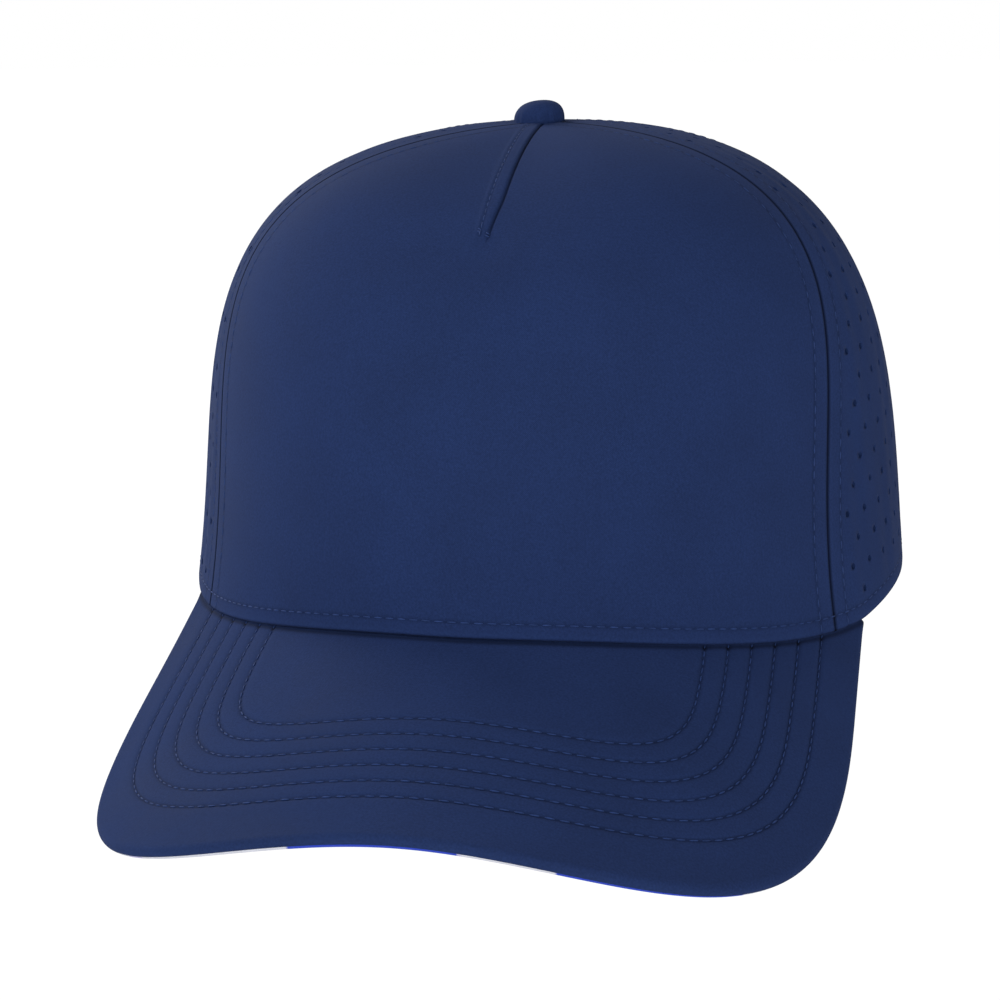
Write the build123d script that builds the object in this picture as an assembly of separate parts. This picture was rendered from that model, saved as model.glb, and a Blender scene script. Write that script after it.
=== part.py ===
from build123d import *
import math
import os

# A bump cap: a five-panel cloth cover with a stitched brim and an adjustable
# back strap, and inside it a thin moulded shell on foam pads, which pulls out.
# Millimetres, +Z up, -Y to the front, +X to the wearer's left.  The origin is
# the centre of the head opening, on the plane of the cover's lower edge.
# Azimuth 0 is the front, 90 the wearer's left, 180 the back.  Depth is
# measured inwards, square to the outer cloth.

# ---------------------------------------------------------------- crown size
half_width = 92.0          # centre to the side, at the lower edge
front_reach = 95.6         # centre to the front, at the lower edge
back_reach = 105.1        # centre to the back, at the lower edge
crown_height = 105.0       # lower edge to the top of the cloth
crown_lean = 9.8           # how far the top sits behind the centre
front_roundness = 1.82     # outline power of the front half
back_roundness = 2.05      # outline power of the back half
# Profile shape, each given at the front, the front corner, the side and back.
shape_azimuths = (0.0, 60.0, 105.0, 180.0)
wall_power = (2.73, 4.28, 3.10, 2.30)       # high: the wall stays upright longer
top_power = (1.79, 2.32, 2.49, 2.31)        # low: the top is more pointed
wall_draw_in = (0.0, -0.060, -0.025, 0.0)   # share of radius lost half way up

# --------------------------------------------------------------------- seams
front_seam_azimuth = 59.8  # where the front panel's side seams start
front_seam_twist = 2.5     # how far they turn on the way to the top
front_seam_bow = 7.3       # how far they bow sideways half way
rear_seam_azimuth = 122.0
top_ring_radius = 5.0      # the panels stop here, under the button

# --------------------------------------------------------------------- layers
panel_thickness = 0.8
tape_thickness = 0.5
tape_width = 12.0
layer_gap = 0.1            # between layers sewn to each other
band_thickness = 1.5
band_height = 30.0
band_end_clearance = 4.9   # degrees from the band to the strap when it is furthest in
tape_end_gap = 1.0         # between the back seam tape and the arch binding
stiffener_top_radius = 24.0          # the stiffener and tapes stop short of the top
tape_top_radius = 15.0

# ---------------------------------------------------------------------- brim
brim_length = 67.0         # front of the crown to the front of the brim, in plan
brim_side_setback = 7.5    # how much narrower the brim is than the cover, each side
brim_side_length = 32.0    # the end of the root to where the brim is widest
brim_power = 2.98          # squareness of the brim's front corners
brim_side_fullness = 0.38  # how long the side stays at full width, as a share
brim_side_taper = 0.35     # how straight the side runs into the crown, as a share
brim_end_azimuth = 68.7    # where the brim's edge runs into the crown
brim_slope = 0.30          # fall per unit forward at the middle
brim_lift = 0.00044        # curl that eases the slope, per mm squared
brim_arch_radius = 114.7   # sideways curve
brim_board_thickness = 1.8
brim_cloth_thickness = 0.6
brim_board_inset = 2.0     # the cloth laps over the board's edge by this much
side_edge_rise = 1.2       # lower edge of the side panels
back_edge_rise = 0.0

# ----------------------------------------------------------------- back strap
arch_half_width = 38.0
arch_height = 46.0
binding_width = 8.0
binding_side_allowance = 1.4         # width of the sheet the binding is cut from, in arch widths
strap_width = 20.0
strap_foot = 1.5           # lower edge of the strap
strap_thickness = 1.0
patch_thickness = 0.8      # hook or loop cloth on the strap
patch_margin = 1.5
strap_clearance = 0.4      # between the strap and what it slides past
strap_root_turn = 42.0     # degrees from the back, round the strap's own axis
fixed_tab_end_turn = 15.0
strap_let_out = 7.0        # degrees that the moving strap lets out and takes in
strap_take_in = 6.0
flap_edge_clearance = 1.2  # between the folded flap and the side of the arch
flap_end_allowance = 4.0   # degrees of arch left open past the flap
hinge_gap = 0.3
pocket_thickness = 0.6
pocket_inner_turn = 29.0
pocket_outer_turn = 53.0
pocket_hem = 1.0           # how far the pocket stands past the strap, each side

# --------------------------------------------------------------------- insert
shell_depth = 5.0          # outer face of the moulded shell
shell_thickness = 2.0
rim_heights = (31.0, 33.0, 40.0, 56.0)      # at the shape azimuths
shell_top_hole_radius = 9.0
vent_length = 24.0
vent_width = 7.0
vent_height = 74.0
vent_azimuths = (-150.0, -95.0, -45.0, 45.0, 95.0, 150.0)
pad_thickness = 4.0
pad_gap = 0.2              # glue line between the shell and a pad
front_pad_place = (-36, 36, 38, 62)         # first and last azimuth, foot and top
side_pad_place = (62, 112, 42, 64)
rear_pad_place = (150, 210, 60, 80)
crown_pad_azimuths = (35, 145)
crown_pad_radii = (46, 14)           # from the top of the crown, outer and inner
dot_size = 12.0            # hook-and-loop squares that hold the shell in
dot_height = 74.0
dot_azimuths = (-rear_seam_azimuth, -30.0, 30.0, rear_seam_azimuth)
dot_gap = 0.4

# --------------------------------------------------------------------- button
button_diameter = 12.7
button_height = 6.6
button_wall = 1.0
button_side_fullness = 0.9           # powers of the dome's profile
button_top_fullness = 0.7
rivet_head_share = 0.7               # of the inside of the button
rivet_shank_radius = 1.6
rivet_flange_overlap = 1.5           # how far the flange reaches under the panels
rivet_flange_thickness = 1.0
rivet_head_thickness = 1.2

# Grids of points that the surfaces are laid through, and how closely.
SURFACE_TOLERANCE = 0.02
CROWN_ROWS = 17            # from the lower edge to the top
FRONT_COLUMNS = 25
PANEL_COLUMNS = 15
TAPE_COLUMNS = 5
STIFFENER_ROWS = 15
BAND_GRID = (61, 7)
BINDING_GRID = (17, 9)
SHELL_GRID = (31, 13)
PAD_GRID = (15, 7)
CROWN_PAD_GRID = (15, 9)
DOT_GRID = (5, 5)
BRIM_GRID = (15, 13)
BRIM_CORNER_STEPS = 8
BRIM_ROOT_STEPS = 20
BRIM_GRID_MARGIN = 4.0     # the brim's surfaces reach past its outline by this much
BRIM_GRID_SPREAD = 1.05
BUTTON_STEPS = 6
AZIMUTH_STEP = 0.3         # degrees, for the slope of the crown
RISE_STEP = 0.004
LENGTH_STEP = 0.5          # for lengths along the cloth and slopes of the brim

# Depths of the layers, from the outside in.
tape_depth = panel_thickness + layer_gap
band_depth = tape_depth + tape_thickness + layer_gap
strap_depth = tape_depth + tape_thickness + strap_clearance
hook_depth = strap_depth + strap_thickness
loop_depth = hook_depth + patch_thickness + strap_clearance
tab_depth = loop_depth + patch_thickness
pocket_depth = tab_depth + strap_thickness + strap_clearance
pad_depth = shell_depth + shell_thickness + pad_gap
loop_dot_depth = band_depth
dot_thickness = (shell_depth - loop_dot_depth - dot_gap - layer_gap) / 2
hook_dot_depth = loop_dot_depth + dot_thickness + dot_gap


def between(low, high, share):
    return low + (high - low) * share


def turn_from_front(azimuth):
    """Angle from the front, 0 to 180, on either side."""
    return abs((azimuth + 180) % 360 - 180)


def round_the_crown(values, azimuth):
    """The value at an azimuth, eased between those at the shape azimuths."""
    turn = turn_from_front(azimuth)
    for k in range(len(shape_azimuths) - 1):
        start, end = shape_azimuths[k], shape_azimuths[k + 1]
        if turn <= end:
            share = (turn - start) / (end - start)
            return between(values[k], values[k + 1], share * share * (3 - 2 * share))
    return values[-1]


def outline(azimuth):
    """Plan of the cover's lower edge."""
    sine = math.sin(math.radians(azimuth))
    cosine = math.cos(math.radians(azimuth))
    power, reach = (front_roundness, front_reach) if cosine >= 0 else (back_roundness, back_reach)
    total = abs(sine / half_width) ** power + abs(cosine / reach) ** power
    radius = total ** (-1 / power)
    return radius * sine, -radius * cosine


def brim_height(x, y):
    """Height of the brim's top face."""
    forward = -y - front_reach
    arch = x * x / (2 * brim_arch_radius)
    return brim_lift * forward * forward - brim_slope * forward - arch


brim_reach = front_reach + brim_length
brim_half_width = half_width - brim_side_setback
brim_wide_at = brim_side_length - outline(brim_end_azimuth)[1]


def edge_height(azimuth):
    """Height of the lower edge: it sits on the brim, then levels out."""
    turn = turn_from_front(azimuth)
    if turn <= brim_end_azimuth:
        return brim_height(*outline(azimuth))
    corner = brim_height(*outline(brim_end_azimuth))
    share = (turn - brim_end_azimuth) / (180 - brim_end_azimuth)
    rest = 1 - share
    return corner * rest * rest + side_edge_rise * 2 * share * rest + back_edge_rise * share * share


def crown_point(azimuth, rise):
    """A point of the outer cloth; rise is 0 at the lower edge and 1 at the top."""
    tilt = math.pi / 2 * rise * rise
    lift = math.sin(tilt) ** (2 / round_the_crown(wall_power, azimuth))
    draw = max(math.cos(tilt), 0.0) ** (2 / round_the_crown(top_power, azimuth))
    draw *= 1 + 4 * round_the_crown(wall_draw_in, azimuth) * lift * (1 - lift)
    x, y = outline(azimuth)
    z = between(edge_height(azimuth), crown_height, lift)
    return Vector(x * draw, y * draw + crown_lean * (1 - draw), z)


def crown_normal(azimuth, rise):
    """Outward normal of the outer cloth."""
    low = min(max(rise - RISE_STEP, 0.0), 1 - 3 * RISE_STEP)
    along = crown_point(azimuth + AZIMUTH_STEP, rise) - crown_point(azimuth - AZIMUTH_STEP, rise)
    upward = crown_point(azimuth, low + 2 * RISE_STEP) - crown_point(azimuth, low)
    return along.cross(upward).normalized()


def under_crown(azimuth, rise, depth):
    return crown_point(azimuth, rise) - crown_normal(azimuth, rise) * depth


def rise_at(azimuth, height):
    """The rise at which the outer cloth reaches a height."""
    edge = edge_height(azimuth)
    lift = min(max((height - edge) / (crown_height - edge), 0.0), 1.0)
    tilt = math.asin(lift ** (round_the_crown(wall_power, azimuth) / 2))
    return math.sqrt(tilt / (math.pi / 2))


def rise_at_radius(azimuth, radius):
    """The rise at which the cloth is this far from the top point."""
    low, high = 0.5, 1.0
    top = Vector(0, crown_lean, 0)
    for _ in range(30):
        middle = (low + high) / 2
        offset = crown_point(azimuth, middle) - top
        if math.hypot(offset.X, offset.Y) > radius:
            low = middle
        else:
            high = middle
    return low


def front_seam(rise, side=1):
    share = rise * rise
    bow = 4 * front_seam_bow * share * (1 - share)
    return side * (front_seam_azimuth + front_seam_twist * share + bow)


def brick(place, outer_depth, inner_depth, columns, rows):
    """Solid between two depths; place(u, v) gives azimuth and rise."""
    faces = []
    for depth in (outer_depth, inner_depth):
        grid = []
        for i in range(columns):
            column = [place(i / (columns - 1), j / (rows - 1)) for j in range(rows)]
            grid.append([under_crown(azimuth, rise, depth) for azimuth, rise in column])
        faces.append(Face.make_surface_from_array_of_points(grid, tol=SURFACE_TOLERANCE, min_deg=3))
    return close_faces(*faces)


def close_faces(first, second):
    """Solid between two like faces, closed by ruled walls along their edges."""
    walls = []
    for edge in first.edges():
        mate = min(second.edges(), key=lambda other: (other.center() - edge.center()).length)
        walls.append(Face.make_surface_from_curves(edge, mate))
    return Solid(Shell([first, second] + walls))


# ------------------------------------------------------------------ the cover
def shifted(azimuth, rise, distance):
    """The azimuth this many millimetres along the cloth from another."""
    step = crown_point(azimuth + LENGTH_STEP, rise) - crown_point(azimuth - LENGTH_STEP, rise)
    return azimuth + 2 * LENGTH_STEP * distance / step.length


def panel(low_seam, high_seam, columns):
    """A crown panel between two seams, each a function of rise."""
    def place(u, v):
        top = rise_at_radius(between(low_seam(1), high_seam(1), u), top_ring_radius)
        rise = top * v
        low = shifted(low_seam(rise), rise, layer_gap / 2)
        high = shifted(high_seam(rise), rise, -layer_gap / 2)
        return between(low, high, u), rise
    return brick(place, 0, panel_thickness, columns, CROWN_ROWS)


def seam_tape(seam, foot_height=None):
    """Tape along the inside of a seam, from the lower edge or from a height."""
    start = 0 if foot_height is None else rise_at(seam(0), foot_height)
    end = rise_at_radius(seam(1), tape_top_radius)

    def place(u, v):
        rise = between(start, end, v)
        return shifted(seam(rise), rise, (u - 0.5) * tape_width), rise
    return brick(place, tape_depth, tape_depth + tape_thickness, TAPE_COLUMNS, CROWN_ROWS)


def stiffener():
    """Open-weave stiffener behind the front panel, between its seam tapes."""
    margin = tape_width / 2 + layer_gap

    def place(u, v):
        end = rise_at_radius(between(front_seam(1, -1), front_seam(1), u), stiffener_top_radius)
        rise = end * v
        low = shifted(front_seam(rise, -1), rise, margin)
        high = shifted(front_seam(rise), rise, -margin)
        return between(low, high, u), rise
    return brick(place, tape_depth, tape_depth + tape_thickness, FRONT_COLUMNS, STIFFENER_ROWS)


def sweatband():
    def place(u, v):
        azimuth = between(-band_end_azimuth, band_end_azimuth, u)
        return azimuth, v * rise_at(azimuth, edge_height(azimuth) + band_height)
    return brick(place, band_depth, band_depth + band_thickness, *BAND_GRID)


def arch_cutter(margin=0):
    """Elliptic bar through the back of the cover, as wide as the arch."""
    bar = extrude(Plane.XZ * Ellipse(arch_half_width + margin, arch_height + margin), -2 * back_reach)
    return bar.solid()


def arch_binding():
    """Tape that binds the inside of the arch."""
    reach = binding_side_allowance * math.degrees(math.asin(arch_half_width / back_reach))
    top = rise_at(180, arch_height + 2 * binding_width)

    def place(u, v):
        return between(180 - reach, 180 + reach, u), top * v
    sheet = brick(place, tape_depth, tape_depth + tape_thickness, *BINDING_GRID)
    return ((sheet & arch_cutter(binding_width)) - arch_cutter()).solid()


def brim_plan(inset=0):
    """Plan outline of the brim, or of a piece set in from its free edge."""
    end_azimuth = brim_end_azimuth - math.degrees(2 * inset / half_width)
    end_x, end_y = outline(end_azimuth)
    width = brim_half_width - inset
    length = brim_reach - inset - brim_wide_at
    corner = []
    for k in range(BRIM_CORNER_STEPS + 1):
        turn = math.pi / 2 * k / BRIM_CORNER_STEPS
        x = width * math.sin(turn) ** (2 / brim_power)
        y = brim_wide_at + length * max(math.cos(turn), 0) ** (2 / brim_power)
        corner.append((x, -y))
    front = [(-x, y) for x, y in reversed(corner)] + corner[1:]
    side = [
        (width, -brim_wide_at),
        (width, between(-brim_wide_at, end_y, brim_side_fullness)),
        (between(end_x, width, brim_side_taper), between(end_y, -brim_wide_at, brim_side_taper)),
        (end_x, end_y),
    ]
    root = []
    for k in range(BRIM_ROOT_STEPS + 1):
        root.append(outline(between(-end_azimuth, end_azimuth, k / BRIM_ROOT_STEPS)))
    edges = [
        Spline(*front, tangents=[(0, -1), (0, 1)]),
        Bezier(*side),
        Spline(*root),
        Bezier(*[(-x, y) for x, y in side]),
    ]
    return make_face(Wire(edges))


def brim_sheet(plan, drop, thickness):
    """A sheet of the brim, this far below its top face."""
    columns, rows = BRIM_GRID
    side = BRIM_GRID_SPREAD * brim_half_width
    front = -brim_reach - BRIM_GRID_MARGIN
    back = outline(brim_end_azimuth)[1] + BRIM_GRID_MARGIN
    step = LENGTH_STEP
    faces = []
    for depth in (drop, drop + thickness):
        grid = []
        for i in range(columns):
            x = between(-side, side, i / (columns - 1))
            column = []
            for j in range(rows):
                y = between(front, back, j / (rows - 1))
                slope_x = (brim_height(x + step, y) - brim_height(x - step, y)) / (2 * step)
                slope_y = (brim_height(x, y + step) - brim_height(x, y - step)) / (2 * step)
                stretch = math.sqrt(1 + slope_x ** 2 + slope_y ** 2)
                column.append(Vector(x, y, brim_height(x, y) - depth * stretch))
            grid.append(column)
        faces.append(Face.make_surface_from_array_of_points(grid, tol=SURFACE_TOLERANCE, min_deg=3))
    slab = close_faces(*faces)
    prism = extrude(Plane.XY.offset(-2 * brim_half_width) * plan, 4 * brim_half_width)
    return (slab & prism).solid()


# ------------------------------------------------------------- the back strap
strap_top = strap_foot + strap_width
strap_axis_y = back_reach - half_width ** 2 / back_reach
strap_axis = Axis((0, strap_axis_y, 0), (0, 0, 1))
strap_foot_radius = crown_point(180, rise_at(180, strap_foot)).Y - strap_axis_y
strap_top_radius = crown_point(180, rise_at(180, strap_top)).Y - strap_axis_y
strap_lean = (strap_foot_radius - strap_top_radius) / strap_width
arch_at_strap_top = arch_half_width * math.sqrt(1 - (strap_top / arch_height) ** 2)
open_turn = math.degrees(math.asin((arch_at_strap_top - flap_edge_clearance) / strap_top_radius))
flap_hinge_turn = open_turn - strap_let_out
flap_end_turn = -(open_turn - strap_take_in - flap_end_allowance)
# The sweatband ends beside the strap's root, clear of it when it slides in.
root_reach = math.radians(strap_root_turn + max(strap_let_out, strap_take_in))
root_x = strap_foot_radius * math.sin(root_reach)
root_y = strap_axis_y + strap_foot_radius * math.cos(root_reach)
band_end_azimuth = 180 - math.degrees(math.atan2(root_x, root_y)) - band_end_clearance


def strap_point(turn, depth, height):
    """A point of the strap; turn is from the back, positive to the wearer's right."""
    radius = strap_foot_radius - strap_lean * (height - strap_foot) - depth
    angle = math.radians(turn)
    return Vector(-radius * math.sin(angle), strap_axis_y + radius * math.cos(angle), height)


def strap_piece(start, end, depth, thickness, hem=0):
    """A curved strip of the strap; hem makes it wider, or narrower if negative."""
    low, high = strap_foot - hem, strap_top + hem
    corners = [(depth, low), (depth, high), (depth + thickness, high), (depth + thickness, low)]
    section = Face(Wire.make_polygon([strap_point(start, d, z) for d, z in corners]))
    return revolve(section, axis=strap_axis, revolution_arc=end - start).solid()


# ----------------------------------------------------------------- the insert
def shell_half(side):
    def place(u, v):
        azimuth = side * 180 * u
        rim = rise_at(azimuth, round_the_crown(rim_heights, azimuth))
        return azimuth, between(rim, rise_at_radius(azimuth, shell_top_hole_radius), v)
    return brick(place, shell_depth, shell_depth + shell_thickness, *SHELL_GRID)


def vent_cutter(azimuth):
    rise = rise_at(azimuth, vent_height)
    normal = crown_normal(azimuth, rise)
    upright = crown_point(azimuth, rise + 0.02) - crown_point(azimuth, rise - 0.02)
    plane = Plane(under_crown(azimuth, rise, shell_depth), x_dir=upright, z_dir=normal)
    return extrude(plane * SlotOverall(vent_length, vent_width), 3 * shell_thickness, both=True)


def bump_shell():
    shell = shell_half(1) + shell_half(-1)
    for azimuth in vent_azimuths:
        shell -= vent_cutter(azimuth)
    return shell.solid()


def pad(start, end, foot, top):
    """A foam pad inside the shell, between two azimuths and two heights."""
    def place(u, v):
        azimuth = between(start, end, u)
        return azimuth, between(rise_at(azimuth, foot), rise_at(azimuth, top), v)
    return brick(place, pad_depth, pad_depth + pad_thickness, *PAD_GRID)


def crown_pad(side):
    """One of the two foam pads beside the top of the head."""
    def place(u, v):
        azimuth = side * between(*crown_pad_azimuths, u)
        outer, inner = [rise_at_radius(azimuth, radius) for radius in crown_pad_radii]
        return azimuth, between(outer, inner, v)
    return brick(place, pad_depth, pad_depth + pad_thickness, *CROWN_PAD_GRID)


def dot(azimuth, depth):
    """One hook or loop square between the cover and the shell."""
    def place(u, v):
        rise = between(rise_at(azimuth, dot_height - dot_size / 2),
                       rise_at(azimuth, dot_height + dot_size / 2), v)
        return shifted(azimuth, rise, (u - 0.5) * dot_size), rise
    return brick(place, depth, depth + dot_thickness, *DOT_GRID)


# ----------------------------------------------------------------- the button
button_foot = crown_height + layer_gap
button_radius = button_diameter / 2


def button_dome(radius, height):
    """A solid dome that stands on the top of the cover."""
    profile = [(0, height)]
    for k in range(1, BUTTON_STEPS):
        angle = math.pi / 2 * k / BUTTON_STEPS
        across = radius * math.sin(angle) ** button_side_fullness
        profile.append((across, height * math.cos(angle) ** button_top_fullness))
    profile.append((radius, 0))
    curve = Spline(*[(x, y) for x, y in profile], tangents=[(1, 0), (0, -1)])
    face = make_face(Wire([curve, Line((radius, 0), (0, 0)), Line((0, 0), (0, height))]))
    dome = revolve(Plane.XZ * face, axis=Axis.Z)
    return Pos(0, crown_lean, button_foot) * dome


def button_cover():
    dome = button_dome(button_radius, button_height)
    cavity = button_dome(button_radius - button_wall, button_height - button_wall)
    return (dome - cavity).solid()


def button_rivet():
    """Shank, head and flange that clamp the button and the panels together."""
    flange_radius = top_ring_radius + rivet_flange_overlap
    cloth = crown_point(0, rise_at_radius(0, flange_radius)).Z - panel_thickness
    flange_top = cloth - 2 * layer_gap
    head_foot = button_foot + layer_gap
    head_radius = (button_radius - button_wall) * rivet_head_share
    up = (Align.CENTER, Align.CENTER, Align.MIN)
    flange_foot = flange_top - rivet_flange_thickness
    body = Pos(0, crown_lean, flange_foot) * Cylinder(flange_radius, rivet_flange_thickness, align=up)
    shank_length = head_foot - flange_foot + rivet_head_thickness
    body += Pos(0, crown_lean, flange_foot) * Cylinder(rivet_shank_radius, shank_length, align=up)
    body += Pos(0, crown_lean, head_foot) * Cylinder(head_radius, rivet_head_thickness, align=up)
    return body.solid()


# ------------------------------------------------------------------ all nodes
def left_front_seam(rise):
    return front_seam(rise, 1)


def right_front_seam(rise):
    return front_seam(rise, -1)


def left_rear_seam(rise):
    return rear_seam_azimuth


def right_rear_seam(rise):
    return -rear_seam_azimuth


def left_back_seam(rise):
    return 180.0


def right_back_seam(rise):
    return -180.0


plan = brim_plan()
board_plan = brim_plan(brim_board_inset)
board_drop = layer_gap + brim_cloth_thickness + layer_gap
under_drop = board_drop + brim_board_thickness + layer_gap
gap_turn = math.degrees(hinge_gap / strap_foot_radius)
arch = arch_cutter()

nodes = {
    "front_panel": panel(right_front_seam, left_front_seam, FRONT_COLUMNS),
    "left_side_panel": panel(left_front_seam, left_rear_seam, PANEL_COLUMNS),
    "right_side_panel": panel(right_rear_seam, right_front_seam, PANEL_COLUMNS),
    "left_rear_panel": (panel(left_rear_seam, left_back_seam, PANEL_COLUMNS) - arch).solid(),
    "right_rear_panel": (panel(right_back_seam, right_rear_seam, PANEL_COLUMNS) - arch).solid(),
    "front_stiffener": stiffener(),
    "left_front_seam_tape": seam_tape(left_front_seam),
    "right_front_seam_tape": seam_tape(right_front_seam),
    "left_rear_seam_tape": seam_tape(left_rear_seam),
    "right_rear_seam_tape": seam_tape(right_rear_seam),
    "back_seam_tape": seam_tape(left_back_seam, arch_height + binding_width + tape_end_gap),
    "arch_binding": arch_binding(),
    "sweatband": sweatband(),
    "brim_top_cloth": brim_sheet(plan, layer_gap, brim_cloth_thickness),
    "brim_board": brim_sheet(board_plan, board_drop, brim_board_thickness),
    "brim_under_cloth": brim_sheet(plan, under_drop, brim_cloth_thickness),
    "button_cover": button_cover(),
    "button_rivet": button_rivet(),
    "fixed_tab": strap_piece(-strap_root_turn, fixed_tab_end_turn, tab_depth, strap_thickness),
    "loop_patch": strap_piece(flap_end_turn, fixed_tab_end_turn, loop_depth, patch_thickness, -patch_margin),
    "strap_root": strap_piece(flap_hinge_turn + gap_turn, strap_root_turn, strap_depth, strap_thickness),
    "strap_flap": strap_piece(flap_end_turn, flap_hinge_turn, strap_depth, strap_thickness),
    "hook_patch": strap_piece(flap_end_turn, fixed_tab_end_turn, hook_depth, patch_thickness, -patch_margin),
    "left_strap_pocket": strap_piece(-pocket_outer_turn, -pocket_inner_turn, pocket_depth,
                                     pocket_thickness, pocket_hem),
    "right_strap_pocket": strap_piece(pocket_inner_turn, pocket_outer_turn, pocket_depth,
                                      pocket_thickness, pocket_hem),
    "bump_shell": bump_shell(),
    "front_pad": pad(*front_pad_place),
    "left_side_pad": pad(*side_pad_place),
    "right_side_pad": pad(-side_pad_place[1], -side_pad_place[0], *side_pad_place[2:]),
    "rear_pad": pad(*rear_pad_place),
    "crown_pads": Compound(children=[crown_pad(1), crown_pad(-1)]),
    "loop_dots": Compound(children=[dot(azimuth, loop_dot_depth) for azimuth in dot_azimuths]),
    "hook_dots": Compound(children=[dot(azimuth, hook_dot_depth) for azimuth in dot_azimuths]),
}

os.makedirs("parts", exist_ok=True)
for name, solid in nodes.items():
    export_step(solid, "parts/" + name + ".step")
    print(name, round(solid.volume), "mm3")
hinge_foot = strap_point(flap_hinge_turn, strap_depth, strap_foot)
hinge_top = strap_point(flap_hinge_turn, strap_depth, strap_top)
print("strap axis y", round(strap_axis_y, 3))
print("flap hinge", tuple(hinge_foot), "to", tuple(hinge_top))
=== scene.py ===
# %% [markdown]
# # A bump cap: navy cloth cover, stitched brim, moulded shell
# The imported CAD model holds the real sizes, the bodies and the joints. This lesson builds the looks
# around it. Everything is in metres: +Z up, -Y to the front, +X to the wearer's left.

# %% Load the fixed frame
import math

import bpy
import numpy as np
from mathutils import Matrix, Vector
from mathutils.kdtree import KDTree


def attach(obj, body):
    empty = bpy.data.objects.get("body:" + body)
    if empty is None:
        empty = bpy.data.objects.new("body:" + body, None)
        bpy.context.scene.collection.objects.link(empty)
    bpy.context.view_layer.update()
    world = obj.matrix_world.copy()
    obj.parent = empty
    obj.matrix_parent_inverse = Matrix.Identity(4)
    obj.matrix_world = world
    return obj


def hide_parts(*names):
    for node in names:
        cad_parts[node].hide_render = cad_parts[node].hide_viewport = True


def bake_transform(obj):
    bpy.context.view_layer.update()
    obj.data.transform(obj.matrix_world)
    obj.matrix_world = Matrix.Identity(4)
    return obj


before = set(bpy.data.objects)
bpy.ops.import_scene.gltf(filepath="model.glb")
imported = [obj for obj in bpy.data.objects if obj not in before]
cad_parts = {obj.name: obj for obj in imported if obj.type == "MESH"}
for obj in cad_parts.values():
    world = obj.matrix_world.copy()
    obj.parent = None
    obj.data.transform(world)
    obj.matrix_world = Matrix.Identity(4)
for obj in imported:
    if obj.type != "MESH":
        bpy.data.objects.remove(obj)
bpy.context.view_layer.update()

# %% [markdown]
# ## The camera
# A cap shows best from a little above and a little to one side. The camera could be aimed with a
# tracking constraint, but a matrix written from three directions is exact and has no hidden state, so
# the view direction, the sideways direction and a slight roll are worked out here.

# %% Place the camera
CAMERA_AZIMUTH = math.radians(12.212)
CAMERA_ELEVATION = math.radians(14.137)
CAMERA_ROLL = math.radians(1.147)
CAMERA_DISTANCE = 0.5593
CAMERA_TARGET = Vector((-0.01166, -0.00252, 0.00833))
CAMERA_LENS = 77.155


def add_object(name, data):
    thing = bpy.data.objects.new(name, data)
    bpy.context.scene.collection.objects.link(thing)
    return thing


def make_camera():
    back = Vector((
        math.sin(CAMERA_AZIMUTH) * math.cos(CAMERA_ELEVATION),
        -math.cos(CAMERA_AZIMUTH) * math.cos(CAMERA_ELEVATION),
        math.sin(CAMERA_ELEVATION),
    ))
    level = Vector((math.cos(CAMERA_AZIMUTH), math.sin(CAMERA_AZIMUTH), 0))
    upright = back.cross(level)
    right = level * math.cos(CAMERA_ROLL) - upright * math.sin(CAMERA_ROLL)
    up = level * math.sin(CAMERA_ROLL) + upright * math.cos(CAMERA_ROLL)
    data = bpy.data.cameras.new("camera")
    data.lens = CAMERA_LENS
    data.sensor_width = 36
    data.clip_start = 0.01
    camera = add_object("camera", data)
    turn = Matrix((right, up, back)).transposed().to_4x4()
    camera.matrix_world = Matrix.Translation(CAMERA_TARGET + back * CAMERA_DISTANCE) @ turn
    return camera


bpy.context.scene.camera = make_camera()
print("camera", tuple(round(c, 3) for c in bpy.context.scene.camera.location))

# %% [markdown]
# ## Shader maths as Python
# A material is a graph of nodes, and a graph built line by line is hard to read. One small class wraps
# a socket, so that sums on values add their Math nodes by themselves, and one method makes any other
# node from its type, its settings and what goes into its sockets.

# %% A socket that does arithmetic
class Wire:
    def __init__(self, tree, socket=None):
        self.tree = tree
        self.socket = socket

    def node(self, kind, inputs, output=0, **settings):
        node = self.tree.nodes.new(kind)
        for name, value in settings.items():
            setattr(node, name, value)
        for key, value in inputs.items():
            if isinstance(value, Wire):
                self.tree.links.new(value.socket, node.inputs[key])
            else:
                node.inputs[key].default_value = value
        return Wire(self.tree, node.outputs[output])

    def math(self, operation, *others):
        return self.node("ShaderNodeMath", dict(enumerate((self, *others))), operation=operation)

    def __add__(self, other):
        return self.math("ADD", other)

    def __sub__(self, other):
        return self.math("SUBTRACT", other)

    def __rsub__(self, other):
        return self.node("ShaderNodeMath", {0: other, 1: self}, operation="SUBTRACT")

    def __mul__(self, other):
        return self.math("MULTIPLY", other)

    __radd__ = __add__
    __rmul__ = __mul__

    def clamp(self, low, high, start=0.0, end=1.0):
        """Maps low..high to start..end and holds it there."""
        return self.node("ShaderNodeMapRange", {0: self, 1: low, 2: high, 3: start, 4: end})

    def blend(self, first, second):
        """Colour mix, with this value as the factor."""
        return self.node("ShaderNodeMix", {0: self, 6: first, 7: second}, output=2, data_type="RGBA")

    def split(self):
        """The first two parts of a vector."""
        parts = self.node("ShaderNodeSeparateXYZ", {0: self}).socket.node
        return [Wire(self.tree, parts.outputs[k]) for k in (0, 1)]


print("Wire ready")
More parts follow.
